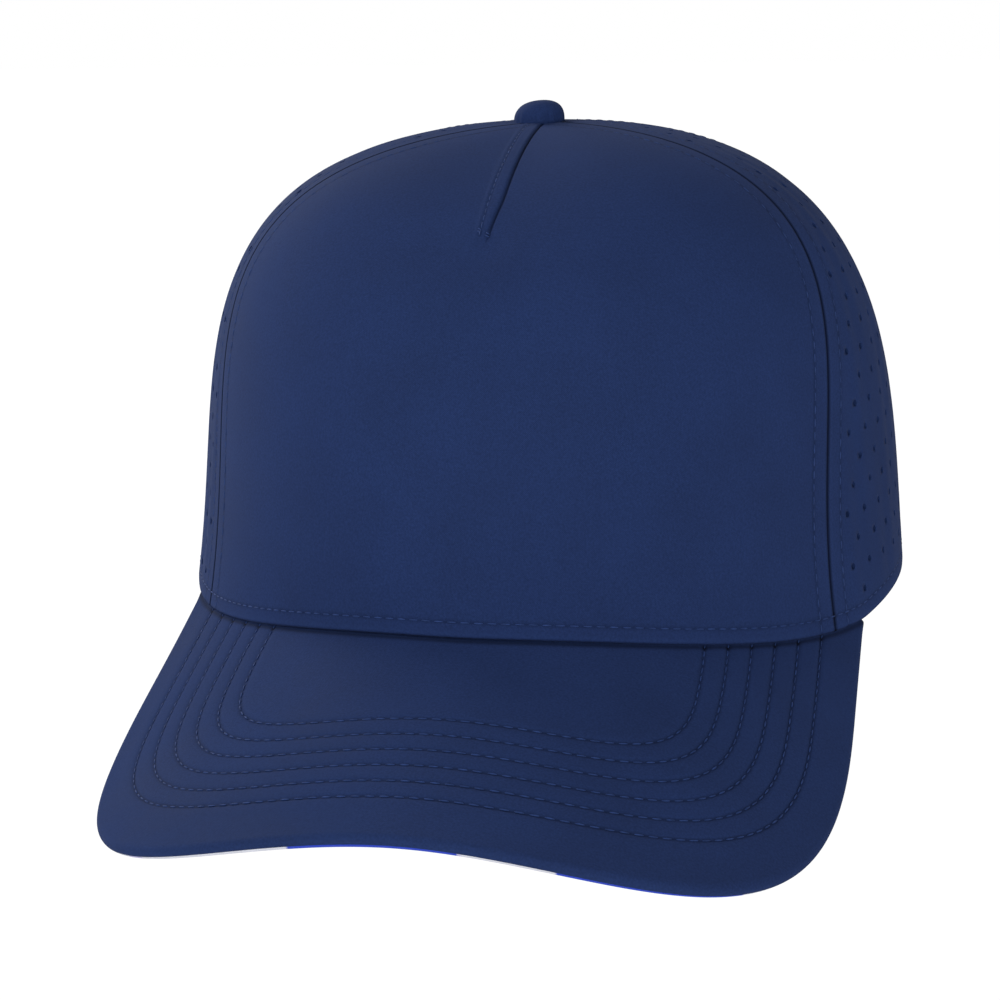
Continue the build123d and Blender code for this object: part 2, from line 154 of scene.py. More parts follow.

# %% [markdown]
# ## Cloth
# The cover is a smooth, closely woven polyester. It is matt, with a faint sheen at grazing angles. Its
# weave is finer than half a millimetre, so it shows as a bump and not as lines. The bump comes from
# two crossed waves on the piece's own UV map, which is in metres along the cloth, and so the weave
# follows each panel. Noise in object space breaks the colour up a little, and an attribute set when
# the mesh is made rubs the edges slightly paler as wear and darkens the grooves with painted shade.

# %% Cloth material
def start_material(name):
    """A new material, with a wire that carries the piece's own coordinates."""
    material = bpy.data.materials.new(name)
    material.use_nodes = True
    return material, Wire(material.node_tree).node("ShaderNodeTexCoord", {}, output="Object")


SOCKET_NAMES = {"specular": "Specular IOR Level"}


def finish_material(material, **sockets):
    """Gives each named socket of the shader its wire or its fixed value."""
    shader = material.node_tree.nodes["Principled BSDF"]
    for name, value in sockets.items():
        socket = shader.inputs[SOCKET_NAMES.get(name, name.replace("_", " ").title())]
        if isinstance(value, Wire):
            material.node_tree.links.new(value.socket, socket)
        else:
            socket.default_value = value
    return material


def noise(place, scale, detail=3.0, roughness=0.5):
    return place.node("ShaderNodeTexNoise", {"Vector": place, "Scale": scale, "Detail": detail,
                                             "Roughness": roughness})


def tinted(colour, shade):
    return shade.node("ShaderNodeVectorMath", {0: colour, "Scale": shade}, operation="SCALE")


def bumpy(height, distance, strength):
    return height.node("ShaderNodeBump", {"Height": height, "Distance": distance, "Strength": strength})


def weave(place, pitch):
    """Height of a plain weave: threads go over and under each other at this pitch."""
    across, along = place.node("ShaderNodeUVMap", {}).split()
    turns = 2 * math.pi / pitch
    return (across * turns).math("SINE") * (along * turns).math("SINE")


# How much wear pales and painted shade darkens the cloth, and the darkest the painted shade goes.
WEAR_AND_SHADE_CONTRAST, DARKEST_PAINTED_SHADE = 0.16, 0.12


def cloth(name, colour, pitch=0.00042, depth=0.00004, mottle=0.07, roughness=0.88, sheen=0.02):
    material, place = start_material(name)
    broad = noise(place, 45.0)
    fine = noise(place, 2100.0, detail=2.0)
    wear = place.node("ShaderNodeAttribute", {}, output="Fac", attribute_name="wear")
    shade = broad.clamp(0.3, 0.7, 1 - mottle, 1 + mottle) * fine.clamp(0.25, 0.75, 0.84, 1.16)
    # The attribute read here pales rubbed edges as wear and darkens grooves and creases with painted shade.
    return finish_material(
        material,
        base_color=tinted(colour, shade * (wear * WEAR_AND_SHADE_CONTRAST + 1).math("MAXIMUM", DARKEST_PAINTED_SHADE)),
        roughness=broad.clamp(0.3, 0.7, roughness - 0.05, roughness + 0.05),
        normal=bumpy(weave(place, pitch) * 0.5 + fine * 0.6, depth, 0.55),
        sheen_weight=sheen, sheen_roughness=0.45, sheen_tint=(0.55, 0.66, 1.0, 1), specular=0.09)


NAVY = (0.0182, 0.0372, 0.124)
NAVY_CLOTH = cloth("navy_cloth", NAVY)
print("materials", len(bpy.data.materials))

# %% [markdown]
# ## The crown as a formula
# A cap's crown is a closed surface with no straight line in it. It could be sculpted, but a formula
# keeps every layer at its true depth. In plan the lower edge is a rounded oval, and each upright
# section is a quarter of a rounded oval too, whose roundness changes from front to back. A point is
# named by its azimuth, 0 at the front and 90 at the wearer's left, and by its rise, 0 at the lower
# edge and 1 at the top. Depth is measured inwards from the outer cloth. numpy works on whole grids.

# %% Crown shape
HALF_WIDTH = 0.0920
FRONT_REACH = 0.0956
BACK_REACH = 0.1051
CROWN_HEIGHT = 0.1050
CROWN_LEAN = 0.0098
FRONT_ROUNDNESS = 1.82
BACK_ROUNDNESS = 2.05
SHAPE_AZIMUTHS = (0.0, 60.0, 105.0, 180.0)
WALL_POWER = (2.73, 4.28, 3.10, 2.30)
TOP_POWER = (1.79, 2.32, 2.49, 2.31)
WALL_DRAW_IN = (0.0, -0.060, -0.025, 0.0)
BRIM_END_AZIMUTH = 68.7
BRIM_SLOPE = 0.30
BRIM_LIFT = 0.44
BRIM_ARCH_RADIUS = 0.1147
SIDE_EDGE_RISE = 0.0012


def smooth(share):
    share = np.clip(share, 0, 1)
    return share * share * (3 - 2 * share)


def mix(low, high, share):
    return low + (high - low) * share


def lengths_along(points, axis=0):
    """Length from the start to each point of a path, or along one way of a grid."""
    steps = np.linalg.norm(np.diff(points, axis=axis), axis=-1)
    start = np.zeros_like(np.take(steps, [0], axis=axis))
    return np.concatenate([start, np.cumsum(steps, axis=axis)], axis=axis)


def turn_from_front(azimuth):
    return np.abs((np.asarray(azimuth, float) + 180) % 360 - 180)


def round_the_crown(values, azimuth):
    turn = turn_from_front(azimuth)
    result = np.full(turn.shape, float(values[0]))
    for k in range(3):
        start, end = SHAPE_AZIMUTHS[k], SHAPE_AZIMUTHS[k + 1]
        step = mix(values[k], values[k + 1], smooth((turn - start) / (end - start)))
        result = np.where(turn >= start, step, result)
    return result


def outline(azimuth):
    """Plan of the cover's lower edge."""
    sine, cosine = np.sin(np.radians(azimuth)), np.cos(np.radians(azimuth))
    reach = np.where(cosine >= 0, FRONT_REACH, BACK_REACH)
    power = np.where(cosine >= 0, FRONT_ROUNDNESS, BACK_ROUNDNESS)
    radius = (np.abs(sine / HALF_WIDTH) ** power + np.abs(cosine / reach) ** power) ** (-1 / power)
    return radius * sine, -radius * cosine


def brim_height(x, y):
    """Height of the brim's top face."""
    forward = -y - FRONT_REACH
    return BRIM_LIFT * forward ** 2 - BRIM_SLOPE * forward - x * x / (2 * BRIM_ARCH_RADIUS)


def edge_height(azimuth):
    """Height of the cover's lower edge: it sits on the brim, then levels out."""
    turn = turn_from_front(azimuth)
    front = brim_height(*outline(np.minimum(turn, BRIM_END_AZIMUTH)))
    corner = brim_height(*outline(BRIM_END_AZIMUTH))
    share = np.clip((turn - BRIM_END_AZIMUTH) / (180 - BRIM_END_AZIMUTH), 0, 1)
    back = corner * (1 - share) ** 2 + SIDE_EDGE_RISE * 2 * share * (1 - share)
    return np.where(turn <= BRIM_END_AZIMUTH, front, back)


def outer_cloth(azimuth, rise):
    azimuth, rise = np.broadcast_arrays(np.asarray(azimuth, float), np.asarray(rise, float))
    tilt = np.pi / 2 * np.clip(rise, 0, 1) ** 2
    lift = np.sin(tilt) ** (2 / round_the_crown(WALL_POWER, azimuth))
    draw = np.maximum(np.cos(tilt), 0) ** (2 / round_the_crown(TOP_POWER, azimuth))
    draw = draw * (1 + 4 * round_the_crown(WALL_DRAW_IN, azimuth) * lift * (1 - lift))
    x, y = outline(azimuth)
    z = mix(edge_height(azimuth), CROWN_HEIGHT, lift)
    return np.stack([x * draw, y * draw + CROWN_LEAN * (1 - draw), z], -1)


def unit(vectors):
    return vectors / np.linalg.norm(vectors, axis=-1, keepdims=True)


def crown_normal(azimuth, rise):
    low = np.clip(np.asarray(rise, float) - 0.004, 0, 0.988)
    along = outer_cloth(np.asarray(azimuth) + 0.3, rise) - outer_cloth(np.asarray(azimuth) - 0.3, rise)
    upward = outer_cloth(azimuth, low + 0.008) - outer_cloth(azimuth, low)
    return unit(np.cross(along, upward))


def crown(azimuth, rise, depth=0.0):
    depth = np.asarray(depth, float)[..., None]
    return outer_cloth(azimuth, rise) - crown_normal(azimuth, rise) * depth


print("crown top", crown(90.0, 1.0).round(4), "front edge", crown(0.0, 0.0).round(4))

# %% [markdown]
# ## Measuring along the cloth
# Seams, stitches and perforations lie at distances along the cloth, not along the formula's own
# numbers. A table of lengths up the crown, one column for every third degree, turns a distance climbed
# from the lower edge into a rise, and small steps round the crown turn a distance into an azimuth.

# %% Distances along the crown
TABLE_STEP = 3.0
TABLE_RISES = np.linspace(0, 1, 241)
TABLE_AZIMUTHS = np.arange(0, 181, TABLE_STEP)[:, None]
LENGTHS = lengths_along(outer_cloth(TABLE_AZIMUTHS, TABLE_RISES[None, :]), axis=1)


def lengths_at(azimuth):
    place = turn_from_front(azimuth) / TABLE_STEP
    left = np.minimum(place.astype(int), len(LENGTHS) - 2)
    share = (place - left)[..., None]
    return mix(LENGTHS[left], LENGTHS[left + 1], share)


def either_side(lengths, cell):
    """The lengths at the two ends of a cell of the table."""
    return [np.take_along_axis(lengths, (cell + k)[..., None], -1)[..., 0] for k in (0, 1)]


def full_climb(azimuth):
    """Length of cloth from the lower edge to the top."""
    return lengths_at(azimuth)[..., -1]


def climb(azimuth, distance):
    """The rise reached after this distance up from the lower edge."""
    azimuth, distance = np.broadcast_arrays(np.asarray(azimuth, float), np.asarray(distance, float))
    lengths = lengths_at(azimuth)
    cell = np.clip((lengths <= distance[..., None]).sum(-1) - 1, 0, len(TABLE_RISES) - 2)
    low, high = either_side(lengths, cell)
    share = np.clip((distance - low) / (high - low), 0, 1)
    return mix(TABLE_RISES[cell], TABLE_RISES[cell + 1], share)


def rise_at(azimuth, height):
    """The rise at which the outer cloth reaches a height."""
    edge = edge_height(azimuth)
    lift = np.clip((height - edge) / (CROWN_HEIGHT - edge), 0, 1)
    tilt = np.arcsin(lift ** (round_the_crown(WALL_POWER, azimuth) / 2))
    return np.sqrt(tilt / (np.pi / 2))


def metres_per_degree(azimuth, rise):
    step = outer_cloth(azimuth + 0.5, rise) - outer_cloth(azimuth - 0.5, rise)
    return np.maximum(np.linalg.norm(step, axis=-1), 1e-6)


def sideways(azimuth, rise, distance, steps=8):
    """The azimuth this far round the crown from another, at the same rise."""
    azimuth, rise, distance = np.broadcast_arrays(*[np.asarray(a, float) for a in (azimuth, rise, distance)])
    for _ in range(steps):
        azimuth = azimuth + distance / steps / metres_per_degree(azimuth, rise)
    return azimuth


print("cloth from edge to top: front", full_climb(0.0).round(4), "side", full_climb(90.0).round(4))

# %% [markdown]
# ## From grids to meshes
# Every cloth piece is a closed solid: an outer grid, an inner grid, and a narrow wall round the rim.
# A Solidify modifier could add the inner grid, but at a folded seam the inner face needs its own
# shape, so both grids are given. The piece gets a UV map in metres and its attribute of wear and painted
# shade here.

# %% Mesh helpers
def new_object(name, mesh, material):
    mesh.materials.append(material)
    return add_object(name, mesh)


def ring_of(columns, rows):
    """Grid indices once round the rim, as seen from the outer side."""
    ring = [i * rows for i in range(columns)]
    ring += [(columns - 1) * rows + j for j in range(1, rows)]
    ring += [i * rows + rows - 1 for i in range(columns - 2, -1, -1)]
    return ring + list(range(rows - 2, 0, -1))


def closed_sheet(name, outer, inner, uv, material, wear=None, closed_round=False):
    """Solid between two grids of the same size; faces point outwards."""
    columns, rows = outer.shape[:2]
    count = columns * rows
    index = np.arange(count).reshape(columns, rows)
    if closed_round:
        index = np.concatenate([index, index[:1]])
    quads = np.stack([index[:-1, :-1], index[1:, :-1], index[1:, 1:], index[:-1, 1:]], -1).reshape(-1, 4)
    faces = [quads, quads[:, ::-1] + count]
    if closed_round:
        for row, flip in ((0, 1), (rows - 1, -1)):
            a, b = index[:-1, row], index[1:, row]
            wall = np.stack([b, a, a + count, b + count], -1)
            faces.append(wall[:, ::flip])
    else:
        ring = np.array(ring_of(columns, rows))
        after = np.roll(ring, -1)
        faces.append(np.stack([after, ring, ring + count, after + count], -1))
    mesh = bpy.data.meshes.new(name)
    points = np.concatenate([outer.reshape(-1, 3), inner.reshape(-1, 3)])
    mesh.from_pydata(points.tolist(), [], np.concatenate(faces).tolist())
    mesh.polygons.foreach_set("use_smooth", [True] * len(mesh.polygons))
    flat_uv = np.concatenate([uv.reshape(-1, 2)] * 2)
    loops = np.zeros(len(mesh.loops), np.int32)
    mesh.loops.foreach_get("vertex_index", loops)
    mesh.uv_layers.new(name="cloth").data.foreach_set("uv", flat_uv[loops].ravel())
    # Wear and painted shade per point, read by the cloth material.
    wear = np.zeros(outer.shape[:2]) if wear is None else wear
    attribute = mesh.attributes.new("wear", "FLOAT", "POINT")
    attribute.data.foreach_set("value", np.concatenate([wear.ravel()] * 2))
    return new_object(name, mesh, material)


def fold(distance, radius):
    """Depth of an edge that rolls inwards: a quarter circle of this radius."""
    rest = np.clip(radius - distance, 0, radius)
    return radius - np.sqrt(radius ** 2 - rest ** 2)


def ridge(distance, centre, width):
    """A smooth bump of height 1 about a distance."""
    return np.exp(-((distance - centre) / width) ** 2)


def bands(distance, rows):
    """The sum of several ridges, each given as its height, its place and its width."""
    return sum(height * ridge(distance, place, width) for height, place, width in rows)


def finish_piece(piece, body, slot, *nodes):
    if body:
        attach(piece, body)
    if nodes:
        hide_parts(*nodes)
    print(piece.name, len(piece.data.polygons), "faces")
    return piece


print("mesh helpers ready")

# %% [markdown]
# ## Stitches
# Lockstitch thread shows as short raised dashes in a shallow groove. A Geometry Nodes tree takes any
# set of lines, walks along them in equal steps and puts one small ellipsoid at each step. It stays
# light, because a stitch is only a few dozen faces, and the pitch is a named input of the tree.

# %% Stitch tree
def new_tree(name, inputs):
    tree = bpy.data.node_groups.new(name, "GeometryNodeTree")
    tree.interface.new_socket("Geometry", in_out="INPUT", socket_type="NodeSocketGeometry")
    for label, kind in inputs:
        tree.interface.new_socket(label, in_out="INPUT", socket_type="NodeSocket" + kind)
    tree.interface.new_socket("Geometry", in_out="OUTPUT", socket_type="NodeSocketGeometry")
    return tree, tree.nodes.new("NodeGroupInput"), tree.nodes.new("NodeGroupOutput")


def add(tree, kind, inputs, **settings):
    """A node of the tree with its inputs set to values or linked to sockets."""
    node = tree.nodes.new(kind)
    for name, value in settings.items():
        setattr(node, name, value)
    for key, value in inputs.items():
        if isinstance(value, bpy.types.NodeSocket):
            tree.links.new(value, node.inputs[key])
        else:
            node.inputs[key].default_value = value
    return node


def evaluate(piece, tree, values, name):
    """Runs the tree on a piece and returns the result as a plain mesh."""
    modifier = piece.modifiers.new(tree.name, "NODES")
    modifier.node_group = tree
    for item in tree.interface.items_tree:
        if item.in_out == "INPUT" and item.name in values:
            modifier[item.identifier] = values[item.name]
    bpy.context.view_layer.update()
    graph = bpy.context.evaluated_depsgraph_get()
    mesh = bpy.data.meshes.new_from_object(piece.evaluated_get(graph), depsgraph=graph)
    mesh.name = name
    piece.modifiers.clear()
    return mesh


def stitch_tree():
    tree, given, out = new_tree("stitches", [("Pitch", "Float"), ("Length", "Float"),
                                             ("Thickness", "Float"), ("Material", "Material")])
    line = add(tree, "GeometryNodeMeshToCurve", {0: given.outputs["Geometry"]})
    steps = add(tree, "GeometryNodeCurveToPoints", {0: line.outputs[0], "Length": given.outputs["Pitch"]},
                mode="LENGTH")
    ball = add(tree, "GeometryNodeMeshUVSphere", {"Segments": 8, "Rings": 5, "Radius": 0.5})
    thickness = given.outputs["Thickness"]
    size = add(tree, "ShaderNodeCombineXYZ", {0: thickness, 1: thickness, 2: given.outputs["Length"]})
    stitch = add(tree, "GeometryNodeTransform", {0: ball.outputs[0], "Scale": size.outputs[0]})
    placed = add(tree, "GeometryNodeInstanceOnPoints", {
        "Points": steps.outputs["Points"], "Instance": stitch.outputs[0],
        "Rotation": steps.outputs["Rotation"]})
    real = add(tree, "GeometryNodeRealizeInstances", {0: placed.outputs[0]})
    smoothed = add(tree, "GeometryNodeSetShadeSmooth", {0: real.outputs[0]})
    painted = add(tree, "GeometryNodeSetMaterial", {0: smoothed.outputs[0],
                                                    "Material": given.outputs["Material"]})
    tree.links.new(painted.outputs[0], out.inputs[0])
    return tree


STITCHES = stitch_tree()
print(STITCHES.name, "tree of", len(STITCHES.nodes), "nodes")


def thread_finish(name, colour):
    material, place = start_material(name)
    shade = noise(place, 700.0).clamp(0.3, 0.7, 0.75, 1.25)
    return finish_material(material, base_color=tinted(colour, shade), roughness=0.6, specular=0.15)


NAVY_THREAD = thread_finish("navy_thread", (0.025, 0.054, 0.180))


def stitches(name, paths, body, slot, material=NAVY_THREAD, pitch=0.0030, length=0.0021, thickness=0.00038):
    """One mesh with a stitch at every step of every path; each path is a list of points."""
    points, edges = [], []
    for path in paths:
        start = len(points)
        points += [tuple(p) for p in path]
        edges += [(k, k + 1) for k in range(start, len(points) - 1)]
    lines = bpy.data.meshes.new(name)
    lines.from_pydata(points, edges, [])
    piece = add_object(name, lines)
    piece.data = evaluate(piece, STITCHES, {"Pitch": pitch, "Length": length, "Thickness": thickness,
                                            "Material": material}, name)
    return finish_piece(piece, body, slot)


# %% [markdown]
# ## Crown panels
# Five panels are sewn edge to edge, right sides together, then pressed open. So at every seam the cloth
# rolls inwards, the pressed seam allowance lifts a band beside it, and a topstitch pulls a faint line
# six millimetres away. All of this is relief on the grid: the depth of each point depends on how far
# it is from the seams and from the hem. A k-d tree gives those distances, so it works for the arch too.

# %% Panel builder
CLOTH_THICKNESS = 0.0008
FOLD_RADIUS = 0.0006
HEM_LIFT = 0.00045
SEAM_ROW = 0.0055
HEM_ROW = 0.0042
SEAM_LINES = np.array([0, 0.2, 0.4, 0.65, 1.0, 1.6, 2.5, 3.6, 4.6, 5.1, 5.5, 5.9, 6.5, 7.4, 8.5]) / 1000
HEM_LINES = np.array([0, 0.35, 0.8, 1.4, 2.2, 3.2, 3.8, 4.2, 4.6, 5.2, 6.4]) / 1000
CELL = 0.00125
RING_RADIUS = 0.0042
FRONT_SEAM, FRONT_TWIST, FRONT_BOW = 59.8, 2.5, 7.3
RIGHT_LEAN, RIGHT_TOP_LEAN = 2.0, 14.0
REAR_SEAM = 122.0
ARCH_HALF_WIDTH, ARCH_HEIGHT = 0.0380, 0.0460


def front_seam(rise, side=1):
    """Azimuth of a front seam; the wearer's right one was sewn a little further forward."""
    rise = np.asarray(rise, float)
    share = rise ** 2
    lean = (side < 0) * (RIGHT_LEAN + RIGHT_TOP_LEAN * rise ** 3)
    return side * (FRONT_SEAM + FRONT_TWIST * share + 4 * FRONT_BOW * share * (1 - share) - lean)


def climbed(azimuth, rise):
    """Length of cloth from the lower edge to a rise."""
    azimuth, rise = np.broadcast_arrays(np.asarray(azimuth, float), np.asarray(rise, float))
    place = np.clip(rise, 0, 1) * (len(TABLE_RISES) - 1)
    cell = np.minimum(place.astype(int), len(TABLE_RISES) - 2)
    return mix(*either_side(lengths_at(azimuth), cell), place - cell)


def dense(path, step=0.0001):
    """The same path with points this close together."""
    lengths = lengths_along(path)
    places = np.arange(0, lengths[-1], step)
    return np.stack([np.interp(places, lengths, path[:, k]) for k in range(3)], -1)


def distance_to(paths, grid):
    """Distance from every grid point to the nearest of the paths."""
    points = np.concatenate([dense(np.asarray(path)) for path in paths])
    tree = KDTree(len(points))
    for k, point in enumerate(points):
        tree.insert(point, k)
    tree.balance()
    flat = grid.reshape(-1, 3)
    found = np.array([tree.find(point)[2] for point in flat])
    return found.reshape(grid.shape[:-1])


def even_lines(length, cell, fine_half_width=0.0, fine_cell=0.0006):
    """Distances across a panel: close by both seams and, if asked, round the middle."""
    middle = length / 2
    half = [0.0]
    while half[-1] < middle - SEAM_LINES[-1]:
        half.append(half[-1] + (fine_cell if half[-1] < fine_half_width else cell))
    half = np.array(half) * (middle - SEAM_LINES[-1]) / half[-1]
    inner = np.concatenate([middle - half[::-1], middle + half[1:]])
    return np.concatenate([SEAM_LINES[:-1], inner, length - SEAM_LINES[-2::-1]]) / length


def undulation(points):
    """A slow, shallow unevenness of pressed cloth, in metres."""
    x, y, z = points[..., 0] * 1000, points[..., 1] * 1000, points[..., 2] * 1000
    wave = np.sin(x / 9.1 + z / 23 + 0.4) + np.sin(y / 7.7 - z / 31 + 1.9) + np.sin(z / 11.3 + x / 37 + 2.6)
    return wave * 0.00004


# Each sewn edge: its row of stitches, then the raised band's rise, end, fall and lift, then the pitch,
# drift, middle and width of its puckers.
SEAM_EDGE = SEAM_ROW, (0.0010, 0.0053, 0.0014, 0.00020), (0.0011, 0.013, 0.0066, 0.0030)
HEM_EDGE = HEM_ROW, (0.0012, 0.0055, 0.0015, 0.00015), (0.0012, 0.017, 0.0050, 0.0028)
BAND_START = 0.0008
STITCH_PULL, STITCH_PULL_WIDTH = 0.00022, 0.0005
PUCKER_DEPTH = 0.000035
# Wear is paler where an edge rubs; painted shade makes the groove and each row of stitches darker.
SEAM_WEAR_AND_SHADE = (1.0, 0.0010, 0.0006), (-5.2, 0, 0.00075), (-2.2, SEAM_ROW, 0.0004)
HEM_WEAR_AND_SHADE = (0.6, 0.0010, 0.0006), (-3.0, 0, 0.0004), (-1.8, HEM_ROW, 0.0004)


def sewn_edge(distance, along, row, band, puckers):
    """Depth near a sewn edge: rolled in, raised where it is doubled, and pulled by its stitches."""
    rising, end, falling, lift = band
    pitch, drift, middle, width = puckers
    raised = smooth((distance - BAND_START) / rising) * (1 - smooth((distance - end) / falling))
    wave = np.sin(along / pitch + 2 * np.sin(along / drift)) * ridge(distance, middle, width)
    pull = STITCH_PULL * ridge(distance, row, STITCH_PULL_WIDTH)
    return fold(distance, FOLD_RADIUS) - lift * raised + pull + PUCKER_DEPTH * wave


def slack(flat, azimuth, rise, distance):
    """The perforated panels are soft: a few long upright folds, strongest half way up."""
    around = np.radians(azimuth) * HALF_WIDTH
    folds = np.sin(around / 0.0021 + 6 * rise) + 0.6 * np.sin(around / 0.0013 - 4 * rise + 1.0)
    clear = smooth(distance_to([flat[0], flat[-1]], flat) / 0.012) * smooth(distance / 0.012)
    return -0.00011 * folds * clear * (1 - smooth((rise - 0.7) / 0.25)), 0


def seam_side(azimuth_of, rows):
    """Azimuth, hem distance and share of the climb at each row of a panel's side."""
    hem = np.minimum(rows[0], HEM_LINES[-1])
    azimuth = azimuth_of(np.zeros(len(hem)))
    for _ in range(3):
        azimuth = azimuth_of(climb(azimuth, row_distance(azimuth, hem, rows[1])))
    return azimuth, hem, rows[1]


def row_distance(azimuth, hem, share):
    return hem + share * (full_climb(azimuth) - RING_RADIUS - HEM_LINES[-1])


def panel_rows(azimuth):
    """Hem distance and share of the climb at each row of a panel, counted at one azimuth."""
    count = int((float(full_climb(azimuth)) - RING_RADIUS - HEM_LINES[-1]) / CELL)
    hem = np.concatenate([HEM_LINES, np.full(count, HEM_LINES[-1])])
    share = np.concatenate([np.zeros(len(HEM_LINES)), np.linspace(0, 1, count + 1)[1:]])
    return hem, share


def constant(azimuth):
    """A seam that stays at one azimuth."""
    return lambda rise: np.full(np.shape(rise), float(azimuth))


def panel(name, low_side, high_side, across, extra):
    """A panel between two sides; returns the piece, its azimuths and its rises."""
    low_azimuth, low_hem, low_share = [a[None, :] for a in low_side]
    high_azimuth, high_hem, high_share = [a[None, :] for a in high_side]
    t = across[:, None]
    azimuth = mix(low_azimuth, high_azimuth, t)
    distance = row_distance(azimuth, mix(low_hem, high_hem, t), mix(low_share, high_share, t))
    lift = HEM_LIFT * (1 - smooth(distance / 0.004))
    rise = climb(azimuth, distance + lift)
    flat = outer_cloth(azimuth, rise)
    low_gap = distance_to([flat[0]], flat)
    high_gap = distance_to([flat[-1]], flat)
    seams = [sewn_edge(gap, distance, *SEAM_EDGE) for gap in (low_gap, high_gap)]
    hem = sewn_edge(distance, np.radians(azimuth) * HALF_WIDTH, *HEM_EDGE)
    depth = np.maximum(np.maximum(*seams), hem)
    nearest = np.minimum(low_gap, high_gap)
    depth = depth + undulation(flat) * smooth(nearest / 0.008) * smooth(distance / 0.008)
    more_depth, more_painted_shade = extra(flat, azimuth, rise, distance)
    depth = depth + more_depth
    # Wear pales the rubbed edges; painted shade darkens the seam and hem grooves, each row of stitches and
    # the dart.
    wear = bands(nearest, SEAM_WEAR_AND_SHADE) + bands(distance, HEM_WEAR_AND_SHADE) + more_painted_shade
    across_cloth = lengths_along(flat)
    uv = np.stack([across_cloth - across_cloth[len(across) // 2], distance], -1)
    inner = crown(azimuth, rise, np.maximum(CLOTH_THICKNESS, depth + 0.0003))
    piece = closed_sheet(name, crown(azimuth, rise, depth), inner, uv, NAVY_CLOTH, wear)
    return piece, azimuth, rise


print("front panel rows", len(panel_rows(0.0)[0]))

# %% [markdown]
# ### The front panel and its dart
# The high front is one piece from seam to seam. A dart runs from the button down the middle, so that
# the top closes over: its fold is a sharp line, the taken-in cloth is pressed to the wearer's right and
# held by a second row of stitches, and it ends in a small tack.

# %% Front panel
DART_END_RISE = 0.725
DART_ROW = -0.0033
DART_TIP_BEND = 0.0013
DART_GROOVE_WIDTH, DART_ROW_WIDTH = 0.00026, 0.0004


def dart_fold(rise):
    """Where the dart's fold lies beside the middle: its tip bends towards the row of stitches."""
    return -DART_TIP_BEND * (1 - smooth((rise - DART_END_RISE) / 0.07))


def dart_relief(flat, azimuth, rise, distance):
    share = smooth((rise - DART_END_RISE + 0.012) / 0.03)
    x = flat[..., 0]
    from_fold = x - dart_fold(rise)
    near_front = np.abs(azimuth) < 50
    band = smooth((x + 0.0048) / 0.0009) * (1 - smooth((from_fold + 0.0009) / 0.0007))
    line = 0.00060 * ridge(from_fold, 0, DART_GROOVE_WIDTH) - 0.00022 * band
    line = line + 0.00016 * ridge(x, DART_ROW, DART_ROW_WIDTH)
    dimple = 0.0004 * ridge(x, 0, 0.004) * ridge(rise, DART_END_RISE - 0.01, 0.03)
    # Painted shade: darker along the dart's fold and along its row of stitches.
    shaded = -4.2 * ridge(from_fold, 0, 0.00030) - 1.5 * ridge(x, DART_ROW, DART_ROW_WIDTH)
    return np.where(near_front, share * line + dimple, 0), np.where(near_front, share * shaded, 0)


FRONT_PANEL_WIDTH = 0.206
DART_FINE_HALF_WIDTH = 0.018
rows = panel_rows(30.0)
front_piece, _, _ = panel(
    "front_panel_cloth",
    seam_side(lambda rise: front_seam(rise, -1), rows),
    seam_side(front_seam, rows),
    even_lines(FRONT_PANEL_WIDTH, CELL, DART_FINE_HALF_WIDTH), dart_relief)
finish_piece(front_piece, "cover", "navy_twill", "front_panel")

# %% [markdown]
# ### Side and rear panels
# The side and rear panels are perforated for air: staggered rows of small round holes that stop short of
# every seam. Each hole is cut through the closed cloth, so light and shadow fall into it. A Geometry
# Nodes tree puts a short cylinder at each point of the lattice and takes them all out in one Boolean.

# %% Perforation tree
def perforation_tree():
    tree, given, out = new_tree("perforations", [("Lattice", "Object"), ("Radius", "Float"),
                                                 ("Material", "Material")])
    lattice = add(tree, "GeometryNodeObjectInfo", {"Object": given.outputs["Lattice"]})
    facing = add(tree, "GeometryNodeInputNamedAttribute", {"Name": "facing"}, data_type="FLOAT_VECTOR")
    turn = add(tree, "FunctionNodeAlignRotationToVector", {"Vector": facing.outputs[0]}, axis="Z")
    punch = add(tree, "GeometryNodeMeshCylinder", {"Vertices": 14, "Radius": given.outputs["Radius"],
                                                   "Depth": 0.005})
    placed = add(tree, "GeometryNodeInstanceOnPoints", {
        "Points": lattice.outputs["Geometry"], "Instance": punch.outputs[0], "Rotation": turn.outputs[0]})
    punches = add(tree, "GeometryNodeRealizeInstances", {0: placed.outputs[0]})
    cut = add(tree, "GeometryNodeMeshBoolean", {0: given.outputs["Geometry"], 1: punches.outputs[0]},
              operation="DIFFERENCE", solver="MANIFOLD")
    painted = add(tree, "GeometryNodeSetMaterial", {0: cut.outputs[0], "Material": given.outputs["Material"]})
    tree.links.new(painted.outputs[0], out.inputs[0])
    return tree


PERFORATIONS = perforation_tree()
print(PERFORATIONS.name, "tree of", len(PERFORATIONS.nodes), "nodes")
HOLE_RADIUS = 0.00078
HOLE_PITCH, HOLE_ROW_PITCH = 0.0086, 0.00635
SEAM_MARGIN, HEM_MARGIN = 0.0067, 0.0060
FIRST_HOLE_HEIGHT = -0.0031
HOLE_TOP_MARGIN, HOLES_EACH_SIDE, SIDE_STEPS = 0.020, 10, 10
ON_THE_PANEL = 0.0016


